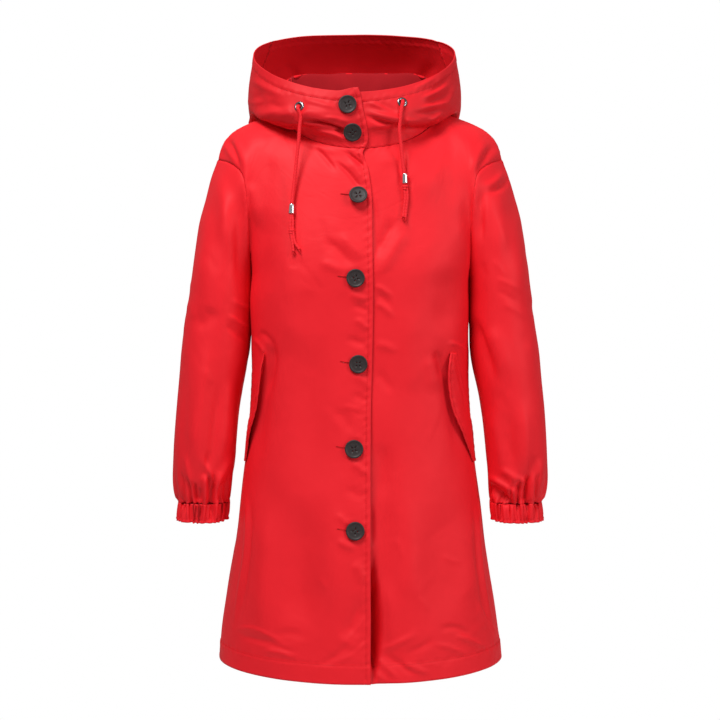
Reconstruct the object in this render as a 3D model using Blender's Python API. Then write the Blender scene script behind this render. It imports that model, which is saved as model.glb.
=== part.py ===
"""A hooded A-line raincoat, buttoned and filled out as if worn, with nobody in it.

Every piece of cloth is a thin wall on a smooth surface worked out from the garment's sizes.
+X is the wearer's left, -Y the front, +Z up. The origin is the middle of the neck opening,
level with the top of the shoulders. Lengths in the tables are millimetres.
"""
from collections import namedtuple
from math import asin, cos, degrees, exp, hypot, pi, radians, sin

import bmesh
import bpy
from mathutils import Matrix, Vector

MM = 0.001
WALL = 1.6             # cloth with its seam allowances and coating
SEAM_GAP = 0.6         # between the pieces at a seam
RIGHT, LEFT = -1, 1    # the wearer's sides, as signs of X

CLOTH = ("shell_cloth", (0.80, 0.03, 0.05), 0.45, 0.0)
BUTTON = ("button_plastic", (0.045, 0.04, 0.038), 0.35, 0.0)
METAL = ("trim_metal", (0.55, 0.55, 0.56), 0.25, 1.0)
CORD = ("cord_cloth", (0.72, 0.03, 0.05), 0.6, 0.0)

# ---------------------------------------------------------------- body sizes
# Rings of the body: height, half width, depth in front and behind, squareness of the corners.
Ring = namedtuple("Ring", "height half_width front back squareness")
BODY_RINGS = (
    Ring(-893, 224, 166, 167, 2.15),
    Ring(-865, 222, 164, 165, 2.15),
    Ring(-783, 211, 157, 156, 2.2),
    Ring(-699, 198, 148, 144, 2.25),
    Ring(-606, 186.5, 137, 128, 2.3),
    Ring(-548, 180, 130, 118, 2.35),
    Ring(-460, 174.5, 123, 107, 2.5),
    Ring(-373, 172, 123, 104, 2.7),
    Ring(-285, 171.5, 125, 110, 3.0),
)
HEM = BODY_RINGS[0].height
UNDERARM = BODY_RINGS[-1].height
HEM_LIFT = 9            # the hem's sides hang this much higher than its front
HEM_LIFT_END = -640     # height at which that lift has died out
LAP_RIGHT = 17          # how far the upper front reaches past the centre
LAP_AT_NECK = 12        # the same at the neck seam
LAP_LEFT = 28           # how far the lower front reaches under it
LAP_LIFT = 2.8          # the upper front's distance from the body's surface at the lap
LAP_FLAT, LAP_FADE = 32, 76

# Neck opening: half an ellipse in front and half behind.
NECK_Y = 8
NECK_HALF_WIDTH, NECK_FRONT, NECK_BACK = 125, 108, 77
NECK_SIDE_Z, NECK_FRONT_Z, NECK_BACK_Z = -14, -90, -22
NECK_SHARE = 0.6        # share of a panel's columns that end at the neck
NECK_ROUND = 0.1        # how rounded the neck seam's highest point is
NECK_STEP = pi / 12     # angle of a panel's column at the neck

# Shoulder seam from the neck to the top of the sleeve: share, out, height.
Shoulder = namedtuple("Shoulder", "share out height")
SHOULDER_SEAM = (
    Shoulder(0.0, 125, -14),
    Shoulder(0.35, 168, -29),
    Shoulder(0.62, 199, -44),
    Shoulder(0.8, 216, -60),
    Shoulder(0.9, 223, -74),
    Shoulder(1.0, 228, -92),
)
SHOULDER_Y = 4
SHOULDER_ROUND = 0.6    # how rounded the shoulder is from front to back, 0 to 1

# Armhole seam from the underarm up to the shoulder seam.
Armhole = namedtuple("Armhole", "share out front back height")
ARMHOLE = (
    Armhole(0.0, 171.5, 0, 0, -285),
    Armhole(0.15, 171.5, -34, 36, -268),
    Armhole(0.32, 172, -60, 64, -232),
    Armhole(0.5, 173, -76, 82, -188),
    Armhole(0.66, 176, -80, 88, -150),
    Armhole(0.78, 184, -72, 82, -123),
    Armhole(0.9, 205, -42, 50, -104),
    Armhole(1.0, 228, 4, 4, -92),
)

ARMHOLE_GAP = 0.9

# Sleeve rings from the armhole down: the ring's outer and inner points, half depth, middle.
Sleeve = namedtuple("Sleeve", "place outer outer_z inner inner_z half_depth middle join")
SLEEVE_RINGS = (
    Sleeve(0.0, 228, -92, 171.5, -285, 84, 2, 1.0),
    Sleeve(0.06, 239, -124, 173.2, -296, 83, 1, 0.8),
    Sleeve(0.14, 251, -173, 174.0, -312, 82, 0, 0.5),
    Sleeve(0.22, 260.5, -225, 174.5, -330, 80, -2, 0.25),
    Sleeve(0.32, 269, -284, 174.8, -356, 77, -4, 0.08),
    Sleeve(0.44, 278, -356, 175.8, -392, 73, -6, 0.0),
    Sleeve(0.54, 285.5, -412, 180, -426, 70, -9, 0.0),
    Sleeve(0.66, 291, -478, 189.5, -478, 65, -13, 0.0),
    Sleeve(0.78, 295, -545, 198, -545, 59, -18, 0.0),
    Sleeve(0.87, 296, -592, 202, -592, 53, -21, 0.0),
    Sleeve(0.94, 293, -619, 204.5, -619, 46, -23, 0.0),
    Sleeve(1.0, 287.5, -637, 207, -638, 40, -24, 0.0),
)
CUFF_DEPTH = 27         # height of the gathered cuff
CUFF_GATHERS = 20
CUFF_WAVE = 1.7         # half height of a gather

# ---------------------------------------------------------------- hood sizes
HOOD_CLEAR = 1.0        # between the hood and the body at the neck seam
HOOD_SHIFT = -9         # the hood sits a little towards the wearer's right
RIM_HALF_WIDTH, RIM_FRONT, RIM_BACK = 161, 116, 104
RIM_SLOPE, RIM_CURVE, RIM_FRONT_Z = 0.85, 0.0010, -5
HOOD_COLUMN = 7.5       # degrees from one column to the next
HOOD_SIDE_COLUMNS = 15  # from the centre line to the middle panel, and one more for the lap
HOOD_ROWS = 15

# Hood sections from the front round to the back. Each gives points on the way from the rim
# down the outer wall, round the fold and up to the neck seam: distance out from the seam, height.
Hood = namedtuple("Hood", "turn wall_out wall_z belly_out belly_z fold_out fold_z "
                          "under_out under_z roll_out roll_z")
HOOD_SECTIONS = (
    Hood(0, 8, -28, 8, -46, 6, -60, 3.5, -70, 1.5, -79),
    Hood(12, 11, -28, 12, -45, 10, -58, 5, -66, 2, -76),
    Hood(27, 19, -27, 22, -43, 18, -55, 8, -60, 3, -70),
    Hood(60, 30, 2, 33, -22, 29, -43, 14, -48, 5, -49),
    Hood(90, 42, 40, 44, 8, 41, -17, 22, -13, 7, 0),
    Hood(108, 51, 60, 61, 5, 53, -38, 28, -16, 8, 42),
    Hood(125, 63.5, 75, 83, 5, 67, -68, 34, -26, 13, 59),
    Hood(150, 75, 85, 100, 5, 77, -94, 38, -36, 15, 63),
    Hood(180, 78, 88, 104, 5, 78, -102, 40, -40, 15, 65),
)

# Large folds of the fronts: both ends in front view, width and depth (minus is a trough).
Fold = namedtuple("Fold", "side x0 z0 x1 z1 width depth")
FOLDS = (
    Fold(LEFT, 30, -560, 34, -870, 17, -13),
    Fold(RIGHT, 140, -406, 158, -550, 8, -6),
    Fold(LEFT, 127, -404, 150, -540, 9, -6),
    Fold(RIGHT, 208, -74, 186, -118, 11, 4),
    Fold(LEFT, 210, -74, 184, -118, 11, 4),
)

# ---------------------------------------------------------------- trim sizes
# Pocket flap from the bottom up: height, then degrees round the body from the front of its
# sewn edge and of its free edge on each side.
Pocket = namedtuple("Pocket", "height sewn free_right free_left")
POCKET_FLAP = (
    Pocket(-572, 87, 75, 72),
    Pocket(-531, 86, 67, 58),
    Pocket(-494, 74, 60, 49),
    Pocket(-461, 65, 56, 45.5),
    Pocket(-424, 58, 54, 44.5),
    Pocket(-402, 55, 53.5, 48),
)
POCKET_STAND = 5.5      # how far the free edge stands off the front
POCKET_CLEAR = 0.7

# Buttons from the throat down: distance from the centre, height, and the holes' turn.
BUTTONS = (
    (-19, -25, 20),
    (-11.5, -66, 52),
    (-2.5, -164, 10),
    (-6.6, -290, 30),
    (-2.4, -419, 0),
    (-8.6, -547, 12),
    (-7.3, -669, 40),
)
BUTTONS_ON_HOOD = 2
BUTTON_CLEAR = 0.9
BUTTON_SIDES = 18
BUTTON_HOLE, BUTTON_HOLE_OUT = 1.1, 3.3    # a hole's radius and its distance from the middle
# Half section of a button: radius, height.
BUTTON_SECTION = ((0, 0), (12.2, 0), (13.7, 0.9), (14, 2.2), (13.2, 3.4), (11.6, 3.4),
                  (10.2, 2.4), (0, 2.2))

# Eyelets, one in each side of the hood: side, distance from the centre, height.
EYELETS = ((RIGHT, -92.6, -26), (LEFT, 64.6, -20))
EYELET_HOLE = 5.3       # radius of the hole cut in the hood
# Ring section: radius, distance out from the hood's outer face.
EYELET_SECTION = ((4.2, 1.1), (5.0, 1.7), (6.6, 1.7), (8.0, 1.0), (8.0, 0.5), (4.9, 0.5),
                  (4.9, -2.1), (6.8, -2.1), (6.8, -2.75), (4.2, -2.75))

# Drawcords from inside the hood, out of the eyelet and down to the bell.
CORD_RADIUS = 2.75
CORD_STEP = 7           # from one point of a cord to the next
CORD_ROUTES = {
    RIGHT: ((-89.4, -92.7, -29), (-92.6, -100.8, -27), (-94.4, -105.3, -26.5),
            (-94.8, -107.5, -29.9), (-92.2, -107.6, -36), (-90.3, -107, -44),
            (-92, -106.3, -58.5), (-93.3, -106, -76.6), (-96.6, -106, -108.5),
            (-99.7, -106.4, -138), (-101.9, -107.3, -157.6), (-103.8, -109.2, -179)),
    LEFT: ((62, -93.5, -21.3), (64.6, -101.8, -19), (65.2, -106.4, -18.4),
           (65, -108.7, -21.7), (63.6, -109.6, -28), (61.6, -110.2, -44),
           (60.1, -110, -62), (62.3, -109.4, -85), (65.8, -108.9, -119.6),
           (68, -109, -133)),
}

# Bells at the cords' ends: both ends of each one's axis, and its section as radius, length.
BELLS = {RIGHT: ((-103.7, -108.9, -176), (-104.2, -110.6, -191)),
         LEFT: ((67.9, -109, -130), (68.3, -109.6, -144.7))}
BELL_SECTION = ((3.3, 0), (3.8, 0), (4.6, 14), (4.5, 14.8), (3.6, 14.8))

# Tails below the bells: two strands and the knot that holds them, as middle and radii.
STRAND_RADIUS = 1.9
TAILS = {
    RIGHT: (
        ((-104.6, -110, -181.5), (-104.7, -111, -192), (-106, -112.3, -204),
         (-105.5, -113.6, -216), (-102.5, -116.2, -235), (-100.8, -118, -254)),
        ((-103.2, -110, -181.5), (-103.1, -111, -192), (-101.9, -112.3, -204),
         (-101.9, -113.6, -216), (-98.5, -116.6, -235), (-90.5, -119.3, -249.5)),
        ((-103.7, -113.2, -217), (4.3, 3.2, 3.0))),
    LEFT: (
        ((67.5, -109.5, -137), (67.6, -109.7, -146), (67.4, -111, -153),
         (68.3, -112, -166), (66.6, -113.3, -183), (64.8, -115.6, -200.5)),
        ((69, -109.5, -137), (69.2, -109.7, -146), (71, -111, -153),
         (72, -112, -166), (70.2, -113.3, -183), (68.6, -115.6, -201.5)),
        ((69, -110.8, -150), (4.6, 3.6, 3.6))),
}


# ---------------------------------------------------------------- small tools
def blend(a, b, share):
    """Value part of the way from a to b."""
    return a + (b - a) * share


def ease(value, low, high):
    """0 below low, 1 above high and a smooth step between."""
    share = min(max((value - low) / (high - low), 0.0), 1.0)
    return share * share * (3 - 2 * share)


def read_table(rows, place):
    """A table's row at a place between its rows, on smooth curves through them."""
    count = len(rows)
    index = 0
    while index < count - 2 and rows[index + 1][0] < place:
        index += 1
    low, high = rows[index], rows[index + 1]
    span = high[0] - low[0]
    share = min(max((place - low[0]) / span, 0.0), 1.0)
    before, after = rows[max(index - 1, 0)], rows[min(index + 2, count - 1)]
    values = [place]
    for name in range(1, len(low)):
        slope_low = (high[name] - before[name]) / (high[0] - before[0])
        slope_high = (after[name] - low[name]) / (after[0] - low[0])
        values.append(
            low[name] * (1 + 2 * share) * (1 - share) ** 2
            + slope_low * span * share * (1 - share) ** 2
            + high[name] * share * share * (3 - 2 * share)
            - slope_high * span * share * share * (1 - share))
    return type(low)(*values)


def power(value, exponent):
    """A power that keeps the sign, for superellipses."""
    return abs(value) ** exponent * (1 if value >= 0 else -1)


# ---------------------------------------------------------------- body surface
def neck_point(turn):
    """Point of the neck seam at an angle from the front, on the wearer's left."""
    depth = NECK_FRONT if cos(turn) > 0 else NECK_BACK
    radius = 1 / hypot(sin(turn) / NECK_HALF_WIDTH, cos(turn) / depth)
    ahead = radius * cos(turn) / depth
    end_z = NECK_FRONT_Z if ahead > 0 else NECK_BACK_Z
    drop = hypot(ahead, NECK_ROUND) - NECK_ROUND
    height = blend(NECK_SIDE_Z, end_z, drop / (hypot(1, NECK_ROUND) - NECK_ROUND))
    return Vector((radius * sin(turn), NECK_Y - radius * cos(turn), height))


def neck_edge(turn):
    """Distance from the neck's middle and height of the panels' own edge at an angle."""
    index = min(int(turn / NECK_STEP + 1e-6), 11)
    low, high = neck_point(index * NECK_STEP), neck_point((index + 1) * NECK_STEP)
    from_low = low.x * cos(turn) + (low.y - NECK_Y) * sin(turn)
    from_high = high.x * cos(turn) + (high.y - NECK_Y) * sin(turn)
    share = min(max(from_low / (from_low - from_high), 0.0), 1.0)
    point = low.lerp(high, share)
    return hypot(point.x, point.y - NECK_Y), point.z


def ring_point(turn, height):
    """Point of the body below the underarm, at an angle from the front."""
    ring = read_table(BODY_RINGS, height)
    depth = ring.front if cos(turn) > 0 else ring.back
    exponent = 2 / ring.squareness
    lift = HEM_LIFT * sin(turn) ** 2 * (1 - ease(height, HEM, HEM_LIFT_END))
    return Vector((ring.half_width * power(sin(turn), exponent),
                   -depth * power(cos(turn), exponent), height + lift))


def top_point(column, front):
    """Point of a panel's top edge: the neck seam, then the shoulder seam."""
    if column <= NECK_SHARE:
        turn = column / NECK_SHARE * pi / 2
        return neck_point(turn if front else pi - turn)
    seam = read_table(SHOULDER_SEAM, (column - NECK_SHARE) / (1 - NECK_SHARE))
    return Vector((seam.out, blend(NECK_Y, SHOULDER_Y, seam.share), seam.height))


def yoke_row(column, rise, front):
    """Place in plan of a row above the underarm, from the centre line to the armhole seam."""
    ring = BODY_RINGS[-1]
    depth = -ring.front if front else ring.back
    middle_y = blend(depth, neck_point(0 if front else pi).y, rise ** 1.3)
    edge = read_table(ARMHOLE, rise)
    edge_y = edge.front if front else edge.back
    turn = column * pi / 2
    exponent = blend(2 / ring.squareness, 1.0, ease(rise, 0.0, 0.5))
    return Vector((edge.out * power(sin(turn), exponent),
                   edge_y + (middle_y - edge_y) * power(cos(turn), exponent), 0))


def rounded(rise, over):
    """How high a row above the underarm lies, from straight to rounded over the shoulder."""
    return blend(rise, sin(rise * pi / 2), SHOULDER_ROUND * over)


def yoke_point(column, rise, front):
    """Point of a panel above the underarm: its top edge is the neck and shoulder seam."""
    point = yoke_row(column, rise, front)
    top = top_point(column, front)
    lift = top - yoke_row(column, 1.0, front)
    edge = read_table(ARMHOLE, rise)
    out = (edge.out - ARMHOLE[0].out) / (ARMHOLE[-1].out - ARMHOLE[0].out)
    over = ease(column, 0.1, NECK_SHARE + 0.1)
    height = blend(UNDERARM, top.z, rounded(rise, over))
    edge_off = edge.height - blend(UNDERARM, ARMHOLE[-1].height, rounded(rise, 1.0))
    return Vector((point.x + lift.x * out, point.y + lift.y * (1 - cos(rise * pi / 2)),
                   height + edge_off * column ** 3))


YOKE_ROWS, LOWER_ROWS = 9, 15
YOKE_START = LOWER_ROWS / (LOWER_ROWS + YOKE_ROWS)


def body_point(column, row, front):
    """Point of the body's surface; column 0 is the centre and 1 the side, row 0 the hem."""
    turn = abs(column) * pi / 2
    if row >= YOKE_START:
        point = yoke_point(abs(column), (row - YOKE_START) / (1 - YOKE_START), front)
    else:
        height = blend(HEM, UNDERARM, row / YOKE_START)
        point = ring_point(turn if front else pi - turn, height)
    if column < 0:
        point.x = -point.x
    return point


def fold_push(side, x, z):
    """How far the large folds move the front's surface out at a place in front view."""
    push = 0.0
    for fold in FOLDS:
        if fold.side != side:
            continue
        run = Vector((fold.x1 - fold.x0, fold.z1 - fold.z0))
        offset = Vector((x - fold.x0, z - fold.z0))
        share = offset.dot(run) / run.length_squared
        aside = abs(offset.x * run.y - offset.y * run.x) / run.length
        if -0.3 < share < 1.3:
            fade = ease(share, -0.3, 0.35) * (1 - ease(share, 0.75, 1.3))
            push += fold.depth * exp(-(aside / fold.width) ** 2) * fade
    return push


FRONT_COLUMNS = 10      # from the centre line to the side seam, and one more for the lap


def lap_column(side, row):
    """Column, below 0, at which a front's lapped edge lies past the centre line."""
    reach = LAP_LEFT
    if side == RIGHT:
        reach = blend(LAP_RIGHT, LAP_AT_NECK, ease(row, YOKE_START, 1.0))
    low, high = -0.4, 0.0
    for _ in range(20):
        middle = (low + high) / 2
        if body_point(middle, row, True).x < -reach:
            low = middle
        else:
            high = middle
    return low


def front_column(side, across, row):
    """Column of the body's surface for a front; across 0 is its lapped edge, 1 its side."""
    spot = across * (FRONT_COLUMNS + 1) - 1
    return -spot * lap_column(side, row) if spot < 0 else spot / FRONT_COLUMNS


def pushed_point(column, row, push):
    """Point of a front's surface moved straight out from the body."""
    step = 0.01
    right = min(column + step, 1.0)
    run = body_point(right, row, True) - body_point(column - step, row, True)
    outward = Vector((run.y, -run.x, 0)).normalized()
    return body_point(column, row, True) + outward * push


def front_point(side, across, row):
    """Point of a front; across 0 is its lapped edge, 1 its side."""
    column = front_column(side, across, row)
    point = body_point(column, row, True)
    push = fold_push(side, point.x, point.z) * (1 - ease(column, 0.93, 1.0))
    if side == RIGHT:
        push += LAP_LIFT * (1 - ease(point.x, LAP_FLAT, LAP_FADE))
    return pushed_point(column, row, push)


# ---------------------------------------------------------------- cloth walls
def surface_normal(place, across, along, closed):
    """Outward direction of a surface, from small steps on it."""
    step = 0.004
    left, right = across - step, across + step
    if closed:
        left, right = left % 1.0, right % 1.0
    else:
        left, right = max(left, 0.0), min(right, 1.0)
    low, high = max(along - step, 0.0), min(along + step, 1.0)
    run = place(right, along) - place(left, along)
    rise = place(across, high) - place(across, low)
    return run.cross(rise).normalized()


def cloth_wall(name, columns, rows, place, finish, closed=False, lean=surface_normal):
    """A closed solid: the cloth's outer face, its inner face a wall further in, and the rims.

    place(across, along) gives the outer face, both from 0 to 1, turning so that it faces out.
    """
    mesh_tool = bmesh.new()
    bmesh.ops.create_grid(mesh_tool, x_segments=columns, y_segments=rows, size=0.5)
    outer = list(mesh_tool.verts)
    spots = {vert: (vert.co.x + 0.5, vert.co.y + 0.5) for vert in outer}
    outer_faces = list(mesh_tool.faces)
    copied = bmesh.ops.duplicate(mesh_tool, geom=outer + list(mesh_tool.edges) + outer_faces)
    twin = {a: b for a, b in copied["vert_map"].items()
            if isinstance(a, bmesh.types.BMVert) and a in spots}
    inner_faces = [item for item in copied["geom"] if isinstance(item, bmesh.types.BMFace)]
    bmesh.ops.reverse_faces(mesh_tool, faces=inner_faces)
    for vert, (across, along) in spots.items():
        point = place(across, along)
        vert.co = point * MM
        twin[vert].co = (point - lean(place, across, along, closed) * WALL) * MM
    if closed:
        bmesh.ops.remove_doubles(mesh_tool, verts=mesh_tool.verts, dist=1e-6)
    rims = [edge for edge in mesh_tool.edges if edge.is_boundary]
    if closed:
        bridge_tube(mesh_tool, rims)
    else:
        bmesh.ops.bridge_loops(mesh_tool, edges=rims)
    return finish_object(name, mesh_tool, finish)


def bridge_tube(mesh_tool, rims):
    """Close a tube's two open ends, each between its outer and its inner loop."""
    loops = []
    left = set(rims)
    while left:
        loop = [left.pop()]
        for edge in loop:
            for vert in edge.verts:
                for other in vert.link_edges:
                    if other in left:
                        left.remove(other)
                        loop.append(other)
        loops.append(loop)
    middle = [sum((edge.verts[0].co for edge in loop), Vector()) / len(loop) for loop in loops]
    first = min(range(1, 4), key=lambda index: (middle[index] - middle[0]).length)
    others = [index for index in range(1, 4) if index != first]
    bmesh.ops.bridge_loops(mesh_tool, edges=loops[0] + loops[first])
    bmesh.ops.bridge_loops(mesh_tool, edges=loops[others[0]] + loops[others[1]])


def make_material(finish):
    """A plain Principled material with the piece's colour, roughness and metallic value."""
    name, colour, roughness, metallic = finish
    material = bpy.data.materials.get(name)
    if material is None:
        material = bpy.data.materials.new(name)
        material.use_nodes = True
        shader = material.node_tree.nodes["Principled BSDF"]
        shader.inputs["Base Color"].default_value = (*colour, 1)
        shader.inputs["Roughness"].default_value = roughness
        shader.inputs["Metallic"].default_value = metallic
    return material


def finish_object(name, mesh_tool, finish):
    """Turn a bmesh into a named object with its material, shaded smooth."""
    mesh = bpy.data.meshes.new(name)
    mesh_tool.to_mesh(mesh)
    mesh_tool.free()
    mesh.materials.append(make_material(finish))
    mesh.shade_smooth()
    mesh.set_sharp_from_angle(angle=radians(40))
    piece = bpy.data.objects.new(name, mesh)
    bpy.context.scene.collection.objects.link(piece)
    return piece


def mirrored(place):
    """The same piece on the wearer's right, still facing out."""
    def other(across, along):
        point = place(1 - across, along)
        return Vector((-point.x, point.y, point.z))
    return other


def side_name(side):
    return "right" if side == RIGHT else "left"


# ---------------------------------------------------------------- pieces of the body
def front_place(side):
    """The outer face of a front, facing out."""
    def place(across, along):
        return front_point(side, across, along) - Vector((0, SEAM_GAP / 2, 0))
    return place if side == LEFT else mirrored(place)


def make_front(side):
    return cloth_wall("front_" + side_name(side), FRONT_COLUMNS + 1, LOWER_ROWS + YOKE_ROWS,
                      front_place(side), CLOTH, lean=panel_lean)


def back_place(across, along):
    """The outer face of the back, facing out."""
    return body_point(1 - 2 * across, along, False) + Vector((0, SEAM_GAP / 2, 0))


def make_back():
    return cloth_wall("back", 2 * FRONT_COLUMNS, LOWER_ROWS + YOKE_ROWS, back_place, CLOTH,
                      lean=panel_lean)


# ---------------------------------------------------------------- sleeves
def armhole_point(turn):
    """Point of the armhole seam; turn 0 is its top, 0.25 in front, 0.5 the underarm."""
    rise = abs(1 - 2 * turn)
    edge = read_table(ARMHOLE, rise)
    return Vector((edge.out, edge.front if turn < 0.5 else edge.back, edge.height))


def sleeve_oval(ring, turn):
    """Point of a sleeve ring's plain oval."""
    angle = 2 * pi * turn
    outer = Vector((ring.outer, ring.middle, ring.outer_z))
    inner = Vector((ring.inner, ring.middle, ring.inner_z))
    middle = (outer + inner) / 2
    reach = (outer - inner) / 2
    return middle + reach * power(cos(angle), 0.94) \
        - Vector((0, ring.half_depth, 0)) * power(sin(angle), 0.94)


def sleeve_point(turn, down):
    """Point of the sleeve; down 0 is the armhole, 1 the top of the cuff."""
    ring = read_table(SLEEVE_RINGS, down)
    start = SLEEVE_RINGS[0]
    bend = armhole_point(turn) - sleeve_oval(start, turn)
    point = sleeve_oval(ring, turn) + bend * ring.join
    clear = ARMHOLE_GAP * (1 - ease(down, 0.0, 0.05))
    return point + Vector((clear, 0, -clear * ease(abs(1 - 2 * turn), 0.4, 0.8)))


SLEEVE_ROWS = 14


def sleeve_place(across, along):
    """The outer face of the wearer's left sleeve, facing out."""
    return sleeve_point((1 - across) % 1.0, 1 - along)


def shared_lean(normal, other):
    """Direction of a seam's edge: halfway to the other piece's where the two bend outwards."""
    return (normal + other * ease(normal.dot(other), 0.0, 0.5)).normalized()


def panel_lean(place, across, along, closed):
    """Direction through the cloth of a front or the back, mitred at shoulder and armhole."""
    normal = surface_normal(place, across, along, closed)
    point = place(across, along)
    if along == 1.0 and abs(point.x) > NECK_HALF_WIDTH - 1:
        normal.y = 0
    if along <= YOKE_START or across not in (0.0, 1.0) or abs(point.x) < ARMHOLE[0].out - 1:
        return normal.normalized()
    rise = (along - YOKE_START) / (1 - YOKE_START)
    turn = (1 - rise) / 2 if place is not back_place else (1 + rise) / 2
    sleeve = surface_normal(sleeve_place, (1 - turn) % 1.0, 1.0, True)
    if point.x < 0:
        sleeve.x = -sleeve.x
    return shared_lean(normal, sleeve)


def sleeve_lean(place, across, along, closed):
    """Direction through a sleeve's cloth, mitred at the armhole."""
    normal = surface_normal(place, across, along, closed)
    if along < 1.0:
        return normal
    point = place(across, along)
    flip = -1 if point.x < 0 else 1
    turn = (1 - across) % 1.0 if flip == 1 else across % 1.0
    row = blend(YOKE_START, 1.0, abs(1 - 2 * turn))
    if turn < 0.5:
        panel = surface_normal(front_place(LEFT), 1.0, row, False)
    else:
        panel = surface_normal(back_place, 0.0, row, False)
    panel.x *= flip
    return shared_lean(normal, panel)


def make_sleeve(side):
    place = sleeve_place if side == LEFT else mirrored(sleeve_place)
    return cloth_wall("sleeve_" + side_name(side), 2 * YOKE_ROWS, SLEEVE_ROWS, place, CLOTH,
                      closed=True, lean=sleeve_lean)


def cuff_point(turn, down):
    """Point of the gathered cuff on the wearer's left."""
    ring = SLEEVE_RINGS[-1]
    point = sleeve_oval(ring, turn)
    middle = Vector(((ring.outer + ring.inner) / 2, ring.middle, point.z))
    out = (point - middle).normalized()
    wave = CUFF_WAVE * sin(2 * pi * CUFF_GATHERS * turn)
    swell = 1.0 * sin(pi * down)
    front_drop = 3.0 * sin(2 * pi * turn) * down
    shift = Vector((2.5 * down, 0, -CUFF_DEPTH * down - front_drop))
    return point + out * (wave + swell) + shift


def make_cuff(side):
    def place(across, along):
        point = cuff_point((1 - across) % 1.0, 1 - along)
        return point - Vector((0, 0, SEAM_GAP))
    if side == RIGHT:
        place = mirrored(place)
    return cloth_wall("cuff_" + side_name(side), 3 * CUFF_GATHERS, 2, place, CLOTH, closed=True)


# ---------------------------------------------------------------- hood
def rim_point(turn):
    """Point of the hood's front edge at an angle from the front."""
    depth = RIM_FRONT if cos(turn) > 0 else RIM_BACK
    radius = 1 / hypot(sin(turn) / RIM_HALF_WIDTH, cos(turn) / depth)
    back = RIM_FRONT - radius * cos(turn)
    return radius, RIM_FRONT_Z + RIM_SLOPE * back - RIM_CURVE * back * back


def smooth_path(points, share):
    """Point on a smooth curve through a few points, share 0 to 1 by their number."""
    spot = share * (len(points) - 1)
    index = min(int(spot), len(points) - 2)
    part = spot - index
    before = points[max(index - 1, 0)]
    low, high = points[index], points[index + 1]
    after = points[min(index + 2, len(points) - 1)]
    return 0.5 * ((2 * low) + (high - before) * part
                  + (2 * before - 5 * low + 4 * high - after) * part ** 2
                  + (3 * low - before - 3 * high + after) * part ** 3)


def hood_point(turn, down):
    """Point of the hood at a signed angle from the front; down 0 is the rim, 1 the neck seam."""
    size = abs(turn)
    section = read_table(HOOD_SECTIONS, degrees(size))
    base, base_z = neck_edge(size)
    rim, rim_z = rim_point(size)
    path = [Vector((rim, rim_z)),
            Vector((base + section.wall_out, section.wall_z)),
            Vector((base + section.belly_out, section.belly_z)),
            Vector((base + section.fold_out, section.fold_z)),
            Vector((base + section.under_out, section.under_z)),
            Vector((base + section.roll_out, section.roll_z)),
            Vector((base + HOOD_CLEAR, base_z + HOOD_CLEAR))]
    radius, height = smooth_path(path, down)
    shift = HOOD_SHIFT * (1 - ease(down, 0.55, 1.0))
    return Vector((radius * sin(turn) + shift, NECK_Y - radius * cos(turn), height))


# The upper lap's edge past the centre, from the rim down to the neck seam.
HoodLap = namedtuple("HoodLap", "down reach")
HOOD_LAP = (HoodLap(0.0, -2), HoodLap(0.08, 5), HoodLap(0.5, 12), HoodLap(1.0, 11.5))
HOOD_LAP_UNDER = 24
HOOD_LAP_FLAT, HOOD_LAP_FADE = 34, 80
SEAM_TURN = 0.0032      # angle left free at the seams to the middle panel


def hood_side_point(side, across, down):
    """Point of a hood side; across 0 is its lapped edge and 1 the seam to the middle panel."""
    if side == RIGHT:
        reach = read_table(HOOD_LAP, down).reach
    else:
        reach = HOOD_LAP_UNDER
    spot = across * (HOOD_SIDE_COLUMNS + 1) - 1
    turn = spot * radians(HOOD_COLUMN) - SEAM_TURN * max(across - 0.9, 0) * 10
    if spot < 0:
        turn = spot * asin(reach / NECK_FRONT)
    point = hood_point(turn * side, down)
    if side == RIGHT:
        point.y -= LAP_LIFT * (1 - ease(turn * NECK_FRONT, HOOD_LAP_FLAT, HOOD_LAP_FADE))
    return point


def hood_side_place(side):
    """The outer face of a hood side, facing out."""
    def place(across, along):
        return hood_side_point(side, across if side == LEFT else 1 - across, 1 - along)
    return place


def hood_lean(place, across, along, closed):
    """Direction through the hood's cloth, level at the neck seam."""
    normal = surface_normal(place, across, along, closed)
    if along == 0.0:
        normal.z = 0
    return normal.normalized()


def make_hood_side(side):
    return cloth_wall("hood_side_" + side_name(side), HOOD_SIDE_COLUMNS + 1, HOOD_ROWS,
                      hood_side_place(side), CLOTH, lean=hood_lean)


def make_hood_centre():
    def place(across, along):
        start = radians(HOOD_COLUMN * HOOD_SIDE_COLUMNS)
        turn = blend(start, 2 * pi - start, across)
        if turn > pi:
            turn -= 2 * pi
        return hood_point(turn, 1 - along)
    return cloth_wall("hood_centre", 48 - 2 * HOOD_SIDE_COLUMNS, HOOD_ROWS, place, CLOTH,
                      lean=hood_lean)


# ---------------------------------------------------------------- pocket flaps
def make_pocket_flap(side):
    """A flap sewn along its side edge, its free edge standing off the front."""
    def place(across, along):
        height = blend(POCKET_FLAP[0].height, POCKET_FLAP[-1].height, along)
        edge = read_table(POCKET_FLAP, height)
        free = edge.free_right if side == RIGHT else edge.free_left
        column = blend(free, edge.sewn, across) / 90
        stand = blend(POCKET_STAND, POCKET_CLEAR, ease(across, 0.0, 0.9))
        row = (height - HEM) / (UNDERARM - HEM) * YOKE_START
        return pushed_point(column, row, stand + WALL)
    if side == RIGHT:
        place = mirrored(place)
    return cloth_wall("pocket_flap_" + side_name(side), 4, 12, place, CLOTH)


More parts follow.
